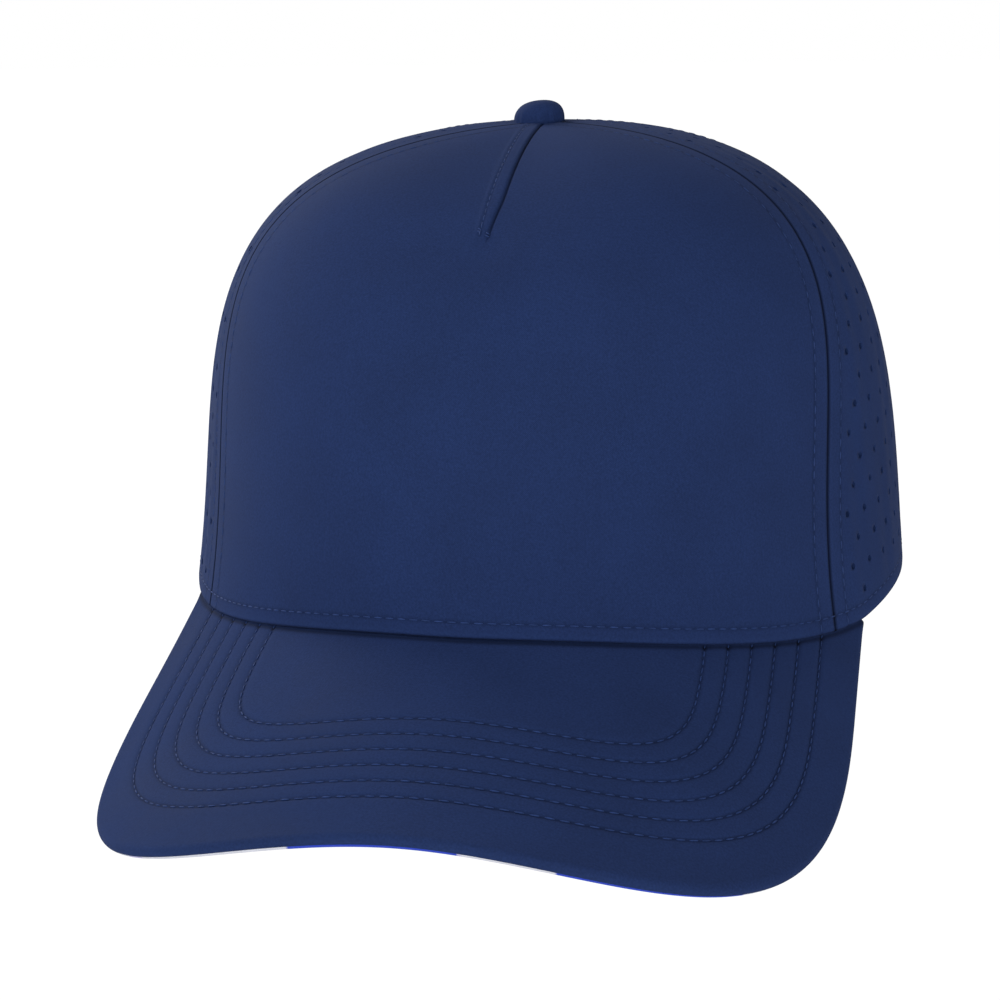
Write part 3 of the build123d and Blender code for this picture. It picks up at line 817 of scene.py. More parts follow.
def lattice(name, middle, flat):
    """Staggered holes over a panel, counted from its middle line, clear of its outline."""
    start = climbed(middle, rise_at(middle, FIRST_HOLE_HEIGHT))
    points, facing = [], []
    row = 0
    while start + row * HOLE_ROW_PITCH < full_climb(middle) - HOLE_TOP_MARGIN:
        level = outer_cloth(middle, climb(middle, start + row * HOLE_ROW_PITCH))[2]
        for k in range(-HOLES_EACH_SIDE, HOLES_EACH_SIDE + 1):
            across = (k + 0.5 * (row % 2)) * HOLE_PITCH
            azimuth = middle
            for _ in range(SIDE_STEPS):
                rise = rise_at(azimuth, level)
                azimuth = azimuth + across / SIDE_STEPS / metres_per_degree(azimuth, rise)
            rise = rise_at(azimuth, level)
            points.append(outer_cloth(azimuth, rise))
            facing.append(crown_normal(azimuth, rise))
        row += 1
    points, facing = np.array(points), np.array(facing)
    seam_gap = distance_to([flat[0], flat[-1]], points)
    hem_gap = distance_to([flat[:, 0]], points)
    near = distance_to([flat.reshape(-1, 3)], points)
    keep = (seam_gap > SEAM_MARGIN) & (hem_gap > HEM_MARGIN) & (near < ON_THE_PANEL)
    mesh = bpy.data.meshes.new(name)
    mesh.from_pydata(points[keep].tolist(), [], [])
    mesh.attributes.new("facing", "FLOAT_VECTOR", "POINT").data.foreach_set("vector", facing[keep].ravel())
    return add_object(name, mesh)


def perforate(piece, middle, azimuth, rise):
    holder = lattice("lattice", middle, outer_cloth(azimuth, rise))
    count = len(holder.data.vertices)
    piece.data = evaluate(piece, PERFORATIONS, {"Lattice": holder, "Radius": HOLE_RADIUS,
                                                "Material": NAVY_CLOTH}, piece.name)
    bpy.data.objects.remove(holder)
    print(piece.name, "holes", count)


# %% [markdown]
# The rear panels end in an arch, which leaves the opening for the strap. Their back side is one path:
# up the arch, then up the back seam, and every row of the grid runs from the rear seam to that path.

# %% Side and rear panels
def azimuth_at(x, height):
    """Azimuth, round the back, where the outer cloth is this far to the side at a height."""
    low, high = np.full(np.shape(height), 120.0), np.full(np.shape(height), 180.0)
    for _ in range(40):
        middle = (low + high) / 2
        outside = outer_cloth(middle, rise_at(middle, height))[..., 0] > np.abs(x)
        low, high = np.where(outside, middle, low), np.where(outside, high, middle)
    return np.where(x >= 0, low, 360 - low)


def round_the_arch(turn, reach=0.0):
    """Azimuth and rise this far outside the arch; turn 0 is its foot on the wearer's left."""
    height = (ARCH_HEIGHT + reach) * np.sin(turn)
    azimuth = azimuth_at((ARCH_HALF_WIDTH + reach) * np.cos(turn), height)
    return azimuth, rise_at(azimuth, height)


def rear_sides():
    """Rows of a rear panel: its rear seam, then the arch and the back seam."""
    azimuth, rise = round_the_arch(np.linspace(0, np.pi / 2, 120))
    top = climb(180.0, full_climb(180.0) - RING_RADIUS)
    seam_rise = np.linspace(rise[-1], top, 120)[1:]
    azimuth = np.concatenate([azimuth, np.full(len(seam_rise), 180.0)])
    rise = np.concatenate([rise, seam_rise])
    walked = lengths_along(outer_cloth(azimuth, rise))
    count = int(walked[-1] / CELL)
    places = np.concatenate([HEM_LINES, np.linspace(HEM_LINES[-1], walked[-1], count)[1:]])
    high_azimuth = np.interp(places, walked, azimuth)
    high_distance = climbed(high_azimuth, np.interp(places, walked, rise))
    high_distance[:len(HEM_LINES)] = HEM_LINES
    high_hem = np.minimum(high_distance, HEM_LINES[-1])
    span = full_climb(high_azimuth) - RING_RADIUS - HEM_LINES[-1]
    high = (high_azimuth, high_hem, (high_distance - high_hem) / span)
    share = np.clip((places - HEM_LINES[-1]) / (walked[-1] - HEM_LINES[-1]), 0, 1)
    low = (np.full(len(places), REAR_SEAM), np.minimum(places, HEM_LINES[-1]), share)
    return low, high


def mirrored(sides):
    low, high = sides
    return (-high[0], high[1], high[2]), (-low[0], low[1], low[2])


rows = panel_rows(90.0)
side_sides = seam_side(front_seam, rows), seam_side(constant(REAR_SEAM), rows)
right_sides = mirrored(side_sides)[0], seam_side(lambda rise: front_seam(rise, -1), rows)
SIDE_MIDDLE, REAR_MIDDLE = 91.2, 146.0
SIDE_WIDTH, REAR_WIDTH = 0.105, 0.070
for label, sides, middle, node, width in (
    ("left_side_cloth", side_sides, SIDE_MIDDLE, "left_side_panel", SIDE_WIDTH),
    ("right_side_cloth", right_sides, -SIDE_MIDDLE, "right_side_panel", SIDE_WIDTH),
    ("left_rear_cloth", rear_sides(), REAR_MIDDLE, "left_rear_panel", REAR_WIDTH),
    ("right_rear_cloth", mirrored(rear_sides()), -REAR_MIDDLE, "right_rear_panel", REAR_WIDTH),
):
    piece, azimuth, rise = panel(label, *sides, even_lines(width, CELL), slack)
    perforate(piece, middle, azimuth, rise)
    finish_piece(piece, "cover", "navy_twill", node)

# %% [markdown]
# ## The brim
# A plastic board is wrapped in cloth and quilted with six rows of stitches that run down one side, round
# the front and back up the other. The top cloth turns over the edge and meets a printed under cloth,
# so a thin bright line shows below the front edge. Both cloths are grids from the root to the edge,
# and the edge itself is a half circle as thick as the whole brim.

# %% Brim shape
BRIM_LENGTH = 0.0670
BRIM_HALF_WIDTH = HALF_WIDTH - 0.0075
BRIM_REACH = FRONT_REACH + BRIM_LENGTH
BRIM_WIDE_AT = 0.0320 - float(outline(BRIM_END_AZIMUTH)[1])
BRIM_POWER = 2.98
BRIM_SIDE_FULLNESS, BRIM_SIDE_TAPER = 0.38, 0.35
BRIM_DROP = 0.0001
BRIM_THICKNESS = 0.0032
EDGE_RADIUS = BRIM_THICKNESS / 2
TOP_WRAP = math.radians(98)
BRIM_ENDS = 0.994


def superellipse(half_width, start, reach, power, count=300):
    """From the middle of the front to the widest point, in plan."""
    turn = np.linspace(0, np.pi / 2, count)
    x = half_width * np.sin(turn) ** (2 / power)
    return np.stack([x, -(start + (reach - start) * np.maximum(np.cos(turn), 0) ** (2 / power))], -1)


def brim_outline():
    """Left half of the free edge, from the middle of the front to the crown, in plan."""
    end_x, end_y = outline(BRIM_END_AZIMUTH)
    corners = np.array([
        (BRIM_HALF_WIDTH, -BRIM_WIDE_AT),
        (BRIM_HALF_WIDTH, mix(-BRIM_WIDE_AT, end_y, BRIM_SIDE_FULLNESS)),
        (mix(end_x, BRIM_HALF_WIDTH, BRIM_SIDE_TAPER), mix(end_y, -BRIM_WIDE_AT, BRIM_SIDE_TAPER)),
        (end_x, end_y)])
    t = np.linspace(0, 1, 120)[1:, None]
    side = ((1 - t) ** 3 * corners[0] + 3 * (1 - t) ** 2 * t * corners[1]
            + 3 * (1 - t) * t ** 2 * corners[2] + t ** 3 * corners[3])
    return np.concatenate([superellipse(BRIM_HALF_WIDTH, BRIM_WIDE_AT, BRIM_REACH, BRIM_POWER), side])


def walk(path, shares):
    """Points at these shares of a plan path's length."""
    lengths = lengths_along(path)
    return np.stack([np.interp(shares * lengths[-1], lengths, path[:, k]) for k in (0, 1)], -1)


def brim_surface(plan, depth):
    """Points this far below the top of the brim, square to it."""
    x, y = plan[..., 0], plan[..., 1]
    forward = -y - FRONT_REACH
    slope_x, slope_y = -x / BRIM_ARCH_RADIUS, BRIM_SLOPE - 2 * BRIM_LIFT * forward
    normal = unit(np.stack([-slope_x, -slope_y, np.ones_like(x)], -1))
    return np.concatenate([plan, brim_height(x, y)[..., None]], -1) - normal * np.asarray(depth)[..., None]


BRIM_COLUMNS = 281
ROOT_GAP = 0.00185
BRIM_SHARES = np.linspace(-BRIM_ENDS, BRIM_ENDS, BRIM_COLUMNS)
_sides = np.stack([np.where(BRIM_SHARES < 0, -1, 1), np.ones(BRIM_COLUMNS)], -1)
BRIM_EDGE = walk(brim_outline(), np.abs(BRIM_SHARES)) * _sides
_tangent = np.gradient(BRIM_EDGE, axis=0)
BRIM_OUTWARD = unit(np.stack([_tangent[:, 1], -_tangent[:, 0]], -1))
_root = np.stack(outline(BRIM_SHARES * BRIM_END_AZIMUTH), -1)
BRIM_ROOT = _root * (1 - ROOT_GAP / np.linalg.norm(_root, axis=-1, keepdims=True))
BRIM_EDGE_RADIUS = np.minimum(EDGE_RADIUS, 0.4 * np.linalg.norm(BRIM_EDGE - BRIM_ROOT, axis=-1))


def wrap_section(turns, reach=1.0, spread=1.0):
    """Plan points and depths round the brim's edge; turn 0 is on top, pi underneath."""
    inset = BRIM_EDGE_RADIUS[:, None] * (1 - reach * np.sin(turns))
    plan = BRIM_EDGE[:, None] - BRIM_OUTWARD[:, None] * inset[..., None]
    return plan, BRIM_DROP + EDGE_RADIUS * (1 - spread * np.cos(turns)) + np.zeros_like(inset)


def brim_grid(turns, count, level, reach=1.0, spread=1.0):
    """Plan points and depths of a brim cloth: flat from the root, then round the edge."""
    edge_plan, edge_depth = wrap_section(turns, reach, spread)
    start, _ = wrap_section(turns[:1])
    flat_plan = mix(BRIM_ROOT[:, None], start, np.linspace(0, 1, count)[None, :-1, None])
    flat_depth = np.full(flat_plan.shape[:2], level)
    return np.concatenate([flat_plan, edge_plan], axis=1), np.concatenate([flat_depth, edge_depth], axis=1)


QUILT_ROWS = (  # the outermost row's value, and how much it falls with each row inwards
    (0.0753, 0.00486),  # half width
    (0.0750, 0.0049),  # how far to the side it meets the crown
    (0.1494, 0.00524),  # reach to the front
    (0.0800, -0.0016),  # how far forward it is widest
    (2.87, -0.08),  # roundness
)


def brim_row(k, count=160):
    """Quilting row k, 0 nearest the edge, from the wearer's left root to the right one, in plan."""
    half_width, root_x, reach, widest, roundness = [first - step * k for first, step in QUILT_ROWS]
    azimuths = np.linspace(0, 90, 2000)
    root_y = float(np.interp(root_x, outline(azimuths)[0], outline(azimuths)[1])) + 0.001
    front = superellipse(half_width, widest, reach, roundness, count)
    s = np.linspace(0, 1, count // 2)[1:]
    side = np.stack([half_width - (half_width - root_x) * s ** 2, mix(-widest, root_y, s)], -1)
    half = np.concatenate([front, side])
    return np.concatenate([half[::-1] * [1, 1], half[1:] * [-1, 1]])


BRIM_ROWS = [brim_row(k) for k in range(6)]
print("brim rows", len(BRIM_ROWS), "edge points", len(BRIM_EDGE))

# %% [markdown]
# ### The brim's two cloths
# Quilting is relief on the grid again: a row of stitches pulls the top cloth down, and between two rows
# it puffs up a little. The print underneath comes from one wave and two noises in Object coordinates,
# so it needs no file and no seam, and only the under cloth has it.

# %% Brim cloths
QUILT_RELIEF = (0.00030, 0, 0.0006), (-0.00006, 0.0026, 0.0014)


def brim_relief(plan, depth):
    """Quilting: each row pulls the cloth down, and between rows it puffs up a little. It also returns painted
    shade, darker along each row and along the root under the crown's hem.
    """
    flat = brim_surface(plan, depth)
    gap = distance_to([brim_surface(row, BRIM_DROP) for row in BRIM_ROWS], flat)
    root = np.stack(outline(np.linspace(-BRIM_END_AZIMUTH, BRIM_END_AZIMUTH, 400)), -1)
    root_gap = distance_to([brim_surface(root, BRIM_DROP)], flat)
    relief = bands(gap, QUILT_RELIEF) + undulation(flat) * 0.8
    # Painted shade: darker along each row of stitches and along the root, where the hem shades the brim.
    return relief, -3.0 * ridge(gap, 0, 0.0004) - 3.5 * ridge(root_gap, 0, 0.0007)


WHITE_GROUND = (0.78, 0.79, 0.88, 1)
ROYAL_BLUE = (0.012, 0.055, 0.60, 1)
PALE_LILAC = (0.55, 0.52, 0.80, 1)
BAND_ACROSS, BAND_FORWARD, BAND_PHASE = 116.4, 16.0, 3.07


def with_print(name):
    """Generic printed cloth: slanted blue bands on white, and lilac patches on the white."""
    material, place = start_material(name)
    x, y = place.split()
    bands = (x * BAND_ACROSS + y * BAND_FORWARD + BAND_PHASE).math("COSINE")
    ragged = bands + noise(place, 16.0, detail=4.0, roughness=0.6) * 0.9 + 0.05
    blue = (ragged - x.clamp(-0.046, -0.030, 2.6, 0.0)).clamp(-0.03, 0.03)
    moved = place.node("ShaderNodeVectorMath", {0: place, 1: (3.1, 1.7, 0.4)})
    lilac = noise(moved, 31.0).clamp(0.60, 0.61) * (1 - blue)
    return finish_material(
        material, base_color=lilac.blend(blue.blend(WHITE_GROUND, ROYAL_BLUE), PALE_LILAC),
        roughness=0.75, normal=bumpy(weave(place, 0.0005), 0.00003, 0.4))


UNDER_PRINT = with_print("under_print_cloth")


def brim_uv(plan, depth):
    return np.stack([plan[..., 0], plan[..., 1] - depth], -1)


LINING_DEPTH, LINING_REACH, LINING_SPREAD = 0.0006, 0.75, 0.70
turns = np.linspace(0, TOP_WRAP, 14)
plan, depth = brim_grid(turns, 150, BRIM_DROP)
lining = brim_surface(*brim_grid(turns, 150, BRIM_DROP + LINING_DEPTH, LINING_REACH, LINING_SPREAD))
relief, shaded = brim_relief(plan, depth)
brim_top = closed_sheet("brim_top", brim_surface(plan, depth + relief)[::-1], lining[::-1],
                        brim_uv(plan, depth)[::-1], NAVY_CLOTH, shaded[::-1])
finish_piece(brim_top, "cover", "navy_twill", "brim_top_cloth")

turns = np.linspace(math.pi, TOP_WRAP + math.radians(3), 15)
bottom = BRIM_DROP + BRIM_THICKNESS
plan, depth = brim_grid(turns, 70, bottom)
lining = brim_surface(*brim_grid(turns, 70, bottom - LINING_DEPTH, LINING_REACH, LINING_SPREAD))
brim_under = closed_sheet("brim_under", brim_surface(plan, depth), lining, brim_uv(plan, depth), UNDER_PRINT)
finish_piece(brim_under, "cover", "under_print", "brim_under_cloth")

# %% [markdown]
# ## The button
# The button is a small metal dome covered in the same cloth, which is gathered underneath. So the dome
# is smooth on top, and faint folds run down its skirt.

# %% Button
BUTTON_RADIUS, BUTTON_HEIGHT = 0.00635, 0.0059
BUTTON_SHIFT = np.array([-0.0020, -0.0005])
BUTTON_TILT = 0.08
around = np.linspace(0, 2 * np.pi, 97)[:-1][:, None]
turn = np.linspace(0.03, 1, 28)[None, :] * np.pi / 2
skirt = smooth((turn - 0.9) / 0.6)
folds = 1 + 0.018 * skirt * (np.sin(14 * around) + 0.5 * np.sin(23 * around + 1.0))
radius = BUTTON_RADIUS * np.sin(turn) ** 0.9 * folds
height = BUTTON_HEIGHT * np.maximum(np.cos(turn), 0) ** 0.6
foot = CROWN_HEIGHT - 0.0006
LINING_SHARE = 0.86


def button_point(radius, height):
    x, y = BUTTON_SHIFT + [0, CROWN_LEAN]
    across = radius * np.cos(around)
    z = foot + height + BUTTON_TILT * across
    return np.stack(np.broadcast_arrays(x + across, y + radius * np.sin(around), z), -1)


outer = button_point(radius, height)[:, ::-1]
inner = button_point(radius * LINING_SHARE, height * LINING_SHARE)[:, ::-1]
uv = np.stack(np.broadcast_arrays(around * 0.004, turn * 0.006), -1)
button = closed_sheet("button_cloth", outer, inner, uv, NAVY_CLOTH, closed_round=True)
finish_piece(button, "cover", "navy_twill", "button_cover")

# %% [markdown]
# ## Rows of stitches on the cover
# Every seam has a topstitch on both sides, the hem has one row, the dart has one, and the brim has six.
# Each row is a path at the depth of the groove pressed for it above.

# %% Stitch rows
ROW_DEPTH, DART_ROW_DEPTH, BRIM_ROW_DEPTH = 0.00008, -0.0001, BRIM_DROP + 0.00016
ROW_START = 0.0022


def beside(seam, offset, start=ROW_START, stop=0.014, count=140):
    """A row beside a seam, this far to the wearer's left of it."""
    azimuth = seam(np.zeros(count))
    for _ in range(3):
        distance = np.linspace(start, float(full_climb(azimuth[-1])) - stop, count)
        rise = climb(azimuth, distance)
        azimuth = seam(rise)
    return crown(sideways(azimuth, rise, offset), rise, ROW_DEPTH)


def dart_tack(level):
    rise = np.linspace(level, level - 0.006, 8)
    return crown(sideways(0.0, level, np.linspace(-0.0036, -0.0014, 8)), rise, DART_ROW_DEPTH)


seam_rows = []
back_start = float(climbed(180.0, rise_at(180.0, ARCH_HEIGHT))) + 0.002
for side in (1, -1):
    for offset in (SEAM_ROW, -SEAM_ROW):
        seam_rows.append(beside(lambda rise: front_seam(rise, side), offset))
        seam_rows.append(beside(constant(side * REAR_SEAM), offset))
    seam_rows.append(beside(constant(180.0), side * SEAM_ROW, back_start))
stitches("seam_stitches", seam_rows, "cover", "navy_twill")
hem_end = float(round_the_arch(np.arcsin(0.004 / ARCH_HEIGHT))[0]) - 1
hem_azimuth = np.linspace(-hem_end, hem_end, 500)
hem_path = crown(hem_azimuth, climb(hem_azimuth, HEM_ROW), ROW_DEPTH)
stitches("hem_stitches", [hem_path], "cover", "navy_twill")
dart_rise = np.linspace(DART_END_RISE + 0.008, 0.965, 60)
dart_path = crown(sideways(0.0, dart_rise, DART_ROW), dart_rise, DART_ROW_DEPTH)
stitches("dart_stitches", [dart_path], "cover", "navy_twill", pitch=0.0026)
tacks = [dart_tack(DART_END_RISE + up) for up in (0.009, 0.013)]
stitches("dart_tack", tacks, "cover", "navy_twill", pitch=0.0014, length=0.0012)
brim_paths = [brim_surface(row, BRIM_ROW_DEPTH) for row in BRIM_ROWS]
stitches("brim_stitches", brim_paths, "cover", "navy_twill")

# %% [markdown]
# ## The inside of the cover
# Turned over, the cap shows how it is held together: woven tape covers the raw seams, a light net
# stiffens the front, a padded sweatband runs round the head and tape binds the arch at the back. Tapes
# are thinner than the CAD solids and sit just under the cloth, so nothing touches.

# %% Tape, net and band finishes
RIBBED = {"mottle": 0.06, "roughness": 0.8, "sheen": 0.15}
TAPE_CLOTH = cloth("tape_cloth", (0.020, 0.030, 0.075), 0.0007, 0.00008, **RIBBED)
BAND_CLOTH = cloth("band_cloth", (0.012, 0.016, 0.034), 0.0010, 0.00010, **RIBBED)
STRAP_CLOTH = cloth("strap_cloth", (0.018, 0.030, 0.090), 0.0008, 0.00008, **RIBBED)
STIFFENER_CLOTH = cloth("stiffener_cloth", (0.50, 0.51, 0.53), 0.0012, 0.0001, mottle=0.04)
print("materials", len(bpy.data.materials))

# %% [markdown]
# ### Seam tapes and the front net
# A tape is a strip that follows its seam just under the cloth, and a row of stitches holds each of its
# edges. The net is one wide strip between the two front seams. The tapes thin out towards their rims.

# %% Layers under the crown
TAPE_WIDTH = 0.0120
TAPE_TOP, TAPE_UNDER = 0.00128, 0.00172


def radius_rise(azimuth, radius):
    """The rise at which the cloth is this far from the top, in plan."""
    azimuth = np.asarray(azimuth, float)
    low, high = np.full(azimuth.shape, 0.5), np.ones(azimuth.shape)
    for _ in range(30):
        middle = (low + high) / 2
        offset = outer_cloth(azimuth, middle)[..., :2] - [0, CROWN_LEAN]
        outside = np.hypot(offset[..., 0], offset[..., 1]) > radius
        low, high = np.where(outside, middle, low), np.where(outside, high, middle)
    return low


def bulge(columns, rows, rounding):
    """How full a soft strip is: 0 at its rim, 1 inside."""
    full = []
    for count in (columns, rows):
        t = np.linspace(0, 1, count)
        inside = np.minimum(np.minimum(t, 1 - t) / rounding, 1)
        full.append(np.sqrt(np.maximum(1 - (1 - inside) ** 2, 0)))
    return np.outer(*full)


def layer(name, azimuth, rise, top, under, material, fullness=1.0):
    """A closed strip between two depths below the outer cloth."""
    flat = outer_cloth(azimuth, rise)
    uv = np.stack([lengths_along(flat, 0), lengths_along(flat, 1)], -1)
    inner = crown(azimuth, rise, mix(top + 0.25 * (under - top), under, fullness))
    return closed_sheet(name, crown(azimuth, rise, top), inner, uv, material)


TAPE_START_RISE, TAPE_END_RADIUS = 0.02, 0.015
TAPE_ROW = 0.0045


def tape(name, seam, start, node):
    """A tape under a seam; returns the paths of its two rows of stitches."""
    end = float(radius_rise(seam(np.ones(1))[0], TAPE_END_RADIUS))
    across = np.linspace(-TAPE_WIDTH / 2, TAPE_WIDTH / 2, 9)[:, None]
    rise = np.linspace(start, end, 90)[None, :] + np.zeros_like(across)
    azimuth = sideways(seam(rise), rise, across)
    piece = layer(name, azimuth, rise, TAPE_TOP, TAPE_UNDER, TAPE_CLOTH, bulge(9, 90, 0.15))
    finish_piece(piece, "cover", "tape_cloth", node)
    line = np.linspace(start, end, 120)
    return [crown(sideways(seam(line), line, offset), line, TAPE_UNDER) for offset in (-TAPE_ROW, TAPE_ROW)]


tape_rows = []
for side, label in ((1, "left"), (-1, "right")):
    for part, seam in (("_front", lambda rise: front_seam(rise, side)),
                       ("_rear", constant(side * REAR_SEAM))):
        tape_rows += tape(label + part + "_tape", seam, TAPE_START_RISE, label + part + "_seam_tape")
tape_rows += tape("back_tape", constant(180.0), float(rise_at(180.0, 0.0555)), "back_seam_tape")
stitches("tape_stitches", tape_rows, "cover", "tape_cloth", pitch=0.0032)

# %% Front net
NET_MARGIN, NET_TOP, NET_UNDER = 0.0063, 0.00128, 0.00160
NET_FOOT_RISE, NET_END_RADIUS = 0.05, 0.024
u = np.linspace(0, 1, 60)[:, None]
top_rise = radius_rise(mix(front_seam(1.0, -1), front_seam(1.0), u), NET_END_RADIUS)
rise = mix(NET_FOOT_RISE, top_rise, np.linspace(0, 1, 70)[None, :])
azimuth = mix(sideways(front_seam(rise, -1), rise, NET_MARGIN),
              sideways(front_seam(rise), rise, -NET_MARGIN), u)
stiffener = layer("front_net", azimuth, rise, NET_TOP, NET_UNDER, STIFFENER_CLOTH)
finish_piece(stiffener, "cover", "stiffener_cloth", "front_stiffener")

# %% [markdown]
# ### Sweatband
# The band is folded terry cloth, softly padded, sewn along its lower edge and free along the top. Its
# ends stop beside the arch.

# %% Sweatband
BAND_END, BAND_HEIGHT = 137.0, 0.0300
BAND_TOP, BAND_UNDER, BAND_ROW_DEPTH = 0.00195, 0.00305, 0.00275
BAND_ROWS = 0.0035, BAND_HEIGHT - 0.003
azimuth = np.linspace(-BAND_END, BAND_END, 360)[:, None]
up = np.linspace(0.0004, BAND_HEIGHT, 26)[None, :]
rise = rise_at(azimuth, edge_height(azimuth) + up)
pull = 0.0003 * sum(ridge(up, height, 0.0010) for height in BAND_ROWS)
fullness = bulge(360, 26, 0.02) * (1 - pull / 0.0013)
band = layer("sweat_band", azimuth, rise, BAND_TOP, BAND_UNDER, BAND_CLOTH, fullness)
finish_piece(band, "cover", "band_cloth", "sweatband")
line = np.linspace(-BAND_END + 1, BAND_END - 1, 500)
band_rows = [crown(line, rise_at(line, edge_height(line) + height), BAND_ROW_DEPTH) for height in BAND_ROWS]
stitches("band_stitches", band_rows, "cover", "band_cloth", pitch=0.0033)

# %% [markdown]
# ### Arch binding
# A folded tape follows the arch on the inside, so the cut edge never frays. Its grid runs along the
# arch, with the second direction straight outwards from the arch's edge.

# %% Arch binding
turn = np.linspace(0.012, np.pi - 0.012, 120)[:, None]
reach = np.linspace(0.0008, 0.0078, 8)[None, :]
azimuth, rise = round_the_arch(turn, reach)
binding = layer("arch_tape", azimuth[::-1], rise[::-1], TAPE_TOP, TAPE_UNDER, TAPE_CLOTH,
                bulge(120, 8, 0.15))
finish_piece(binding, "cover", "tape_cloth", "arch_binding")
arch_rows = [crown(azimuth[3:-3, k], rise[3:-3, k], TAPE_UNDER) for k in (1, 6)]
stitches("arch_stitches", arch_rows, "cover", "tape_cloth", pitch=0.0032)
ARCH_TOPSTITCH_REACH = 0.0060
topstitch = crown(*round_the_arch(np.linspace(0.10, np.pi - 0.10, 200), ARCH_TOPSTITCH_REACH), ROW_DEPTH)
stitches("arch_topstitches", [topstitch], "cover", "navy_twill")

# %% [markdown]
# ## The back strap
# A fixed tab on the wearer's left carries loop tape. A strap on the wearer's right slides in its pocket
# to change the size, and its flap, with hook tape, folds over and peels off. All of these are strips
# on one leaning cone, so a point is a turn from the back, a depth and a height.

# %% Strap pieces
STRAP_FOOT, STRAP_WIDTH = 0.0015, 0.0200
STRAP_TOP = STRAP_FOOT + STRAP_WIDTH
STRAP_AXIS_Y = BACK_REACH - HALF_WIDTH ** 2 / BACK_REACH
STRAP_FOOT_RADIUS, STRAP_TOP_RADIUS = [
    float(outer_cloth(180.0, rise_at(180.0, height))[1]) - STRAP_AXIS_Y
    for height in (STRAP_FOOT, STRAP_TOP)]
STRAP_LEAN = (STRAP_FOOT_RADIUS - STRAP_TOP_RADIUS) / STRAP_WIDTH
STRAP_DEPTH = 0.0018
HOOK_DEPTH, LOOP_DEPTH, TAB_DEPTH, POCKET_DEPTH = 0.0028, 0.0040, 0.0048, 0.0062
ROOT_TURN, TAB_END_TURN = 42.0, 15.0
arch_at_top = ARCH_HALF_WIDTH * math.sqrt(1 - (STRAP_TOP / ARCH_HEIGHT) ** 2)
OPEN_TURN = math.degrees(math.asin((arch_at_top - 0.0012) / STRAP_TOP_RADIUS))
HINGE_TURN = OPEN_TURN - 7.0
FLAP_END_TURN = -(OPEN_TURN - 6.0 - 4.0)
CLOTH_TAPE = 0.0009
CLEAR = 0.00005


def strap_point(turn, depth, height):
    radius = STRAP_FOOT_RADIUS - STRAP_LEAN * (height - STRAP_FOOT) - depth
    angle = np.radians(turn)
    return np.stack(np.broadcast_arrays(-radius * np.sin(angle), STRAP_AXIS_Y + radius * np.cos(angle),
                                        height), -1)


TONGUE_WIDTH, RIM_THINNING = 0.55, 0.35


def strip(name, start, end, depth, thickness, margin, material, round_start=0.0, round_end=0.0, rows=17):
    """A strip with soft edges; round_start and round_end shape its ends as rounded tongues."""
    columns = max(12, int((end - start) * 2.2))
    turn = np.linspace(start, end, columns)[:, None] + np.zeros((1, rows))
    low, high = STRAP_FOOT + margin, STRAP_TOP - margin
    across = np.linspace(-1, 1, rows)[None, :] * (high - low) / 2
    squeeze = np.ones((columns, 1))
    for end_turn, rounding in ((start, round_start), (end, round_end)):
        if rounding:
            gap = np.radians(np.abs(turn[:, :1] - end_turn)) * STRAP_FOOT_RADIUS
            share = np.clip(gap / rounding, 0, 1)
            squeeze = squeeze * mix(TONGUE_WIDTH, 1.0, np.sqrt(1 - (1 - share) ** 2))
    height = (low + high) / 2 + across * squeeze
    thinned = thickness * RIM_THINNING * (1 - bulge(columns, rows, 0.10))
    outer = strap_point(turn, depth + thinned, height)
    inner = strap_point(turn, depth + thickness - thinned, height)
    uv = np.stack([np.radians(turn) * STRAP_FOOT_RADIUS, height], -1)
    return closed_sheet(name, outer[::-1], inner[::-1], uv[::-1], material)


def strip_rows(start, end, depth, inset=0.0018):
    turn = np.linspace(start, end, 80)
    return [strap_point(turn, depth, height) for height in (STRAP_FOOT + inset, STRAP_TOP - inset)]


def fuzzy(name, colour, pitch, disorder, spots, tangle, roughness, sheen):
    """Hook or loop tape: hooks stand in rows, loops are a soft tangle."""
    material, place = start_material(name)
    cells = place.node("ShaderNodeTexVoronoi", {"Vector": place, "Scale": 1 / pitch, "Randomness": disorder})
    height = cells.clamp(0.1, 0.6, 1.0, 0.0) * spots + noise(place, 1.4 / pitch) * tangle
    return finish_material(
        material, base_color=tinted(colour, height.clamp(0.0, 1.2, 0.75, 1.25)),
        normal=bumpy(height, 0.0003, 0.9), roughness=roughness, sheen_weight=sheen)


def fold_with_flap(piece):
    """Bakes the piece's placement into its mesh; the cloth between the strap and its flap is not bent."""
    height = STRAP_FOOT + STRAP_WIDTH / 2
    start, end = [Vector(strap_point(HINGE_TURN + turn, STRAP_DEPTH, height)) for turn in (3.0, -3.0)]
    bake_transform(piece)
    return piece


HOOK_TAPE = fuzzy("hook_tape", (0.016, 0.018, 0.028), 0.0011, 0.15, 1.0, 0.2, 0.6, 0.0)
LOOP_TAPE = fuzzy("loop_tape", (0.020, 0.024, 0.042), 0.0008, 1.0, 0.5, 0.9, 0.95, 0.5)
TAPE_PILE, PILE_MARGIN, PILE_INSET_TURN = 0.00078, 0.0018, 2.2
tab = strip("fixed_tab_cloth", -ROOT_TURN, TAB_END_TURN, TAB_DEPTH + CLEAR, CLOTH_TAPE, 0.0001, STRAP_CLOTH,
            round_end=0.009)
finish_piece(tab, "cover", "strap_cloth", "fixed_tab")
loop = strip("loop_tape_strip", FLAP_END_TURN, TAB_END_TURN - PILE_INSET_TURN, LOOP_DEPTH, TAPE_PILE,
             PILE_MARGIN, LOOP_TAPE, round_end=0.007)
finish_piece(loop, "cover", "loop_tape", "loop_patch")
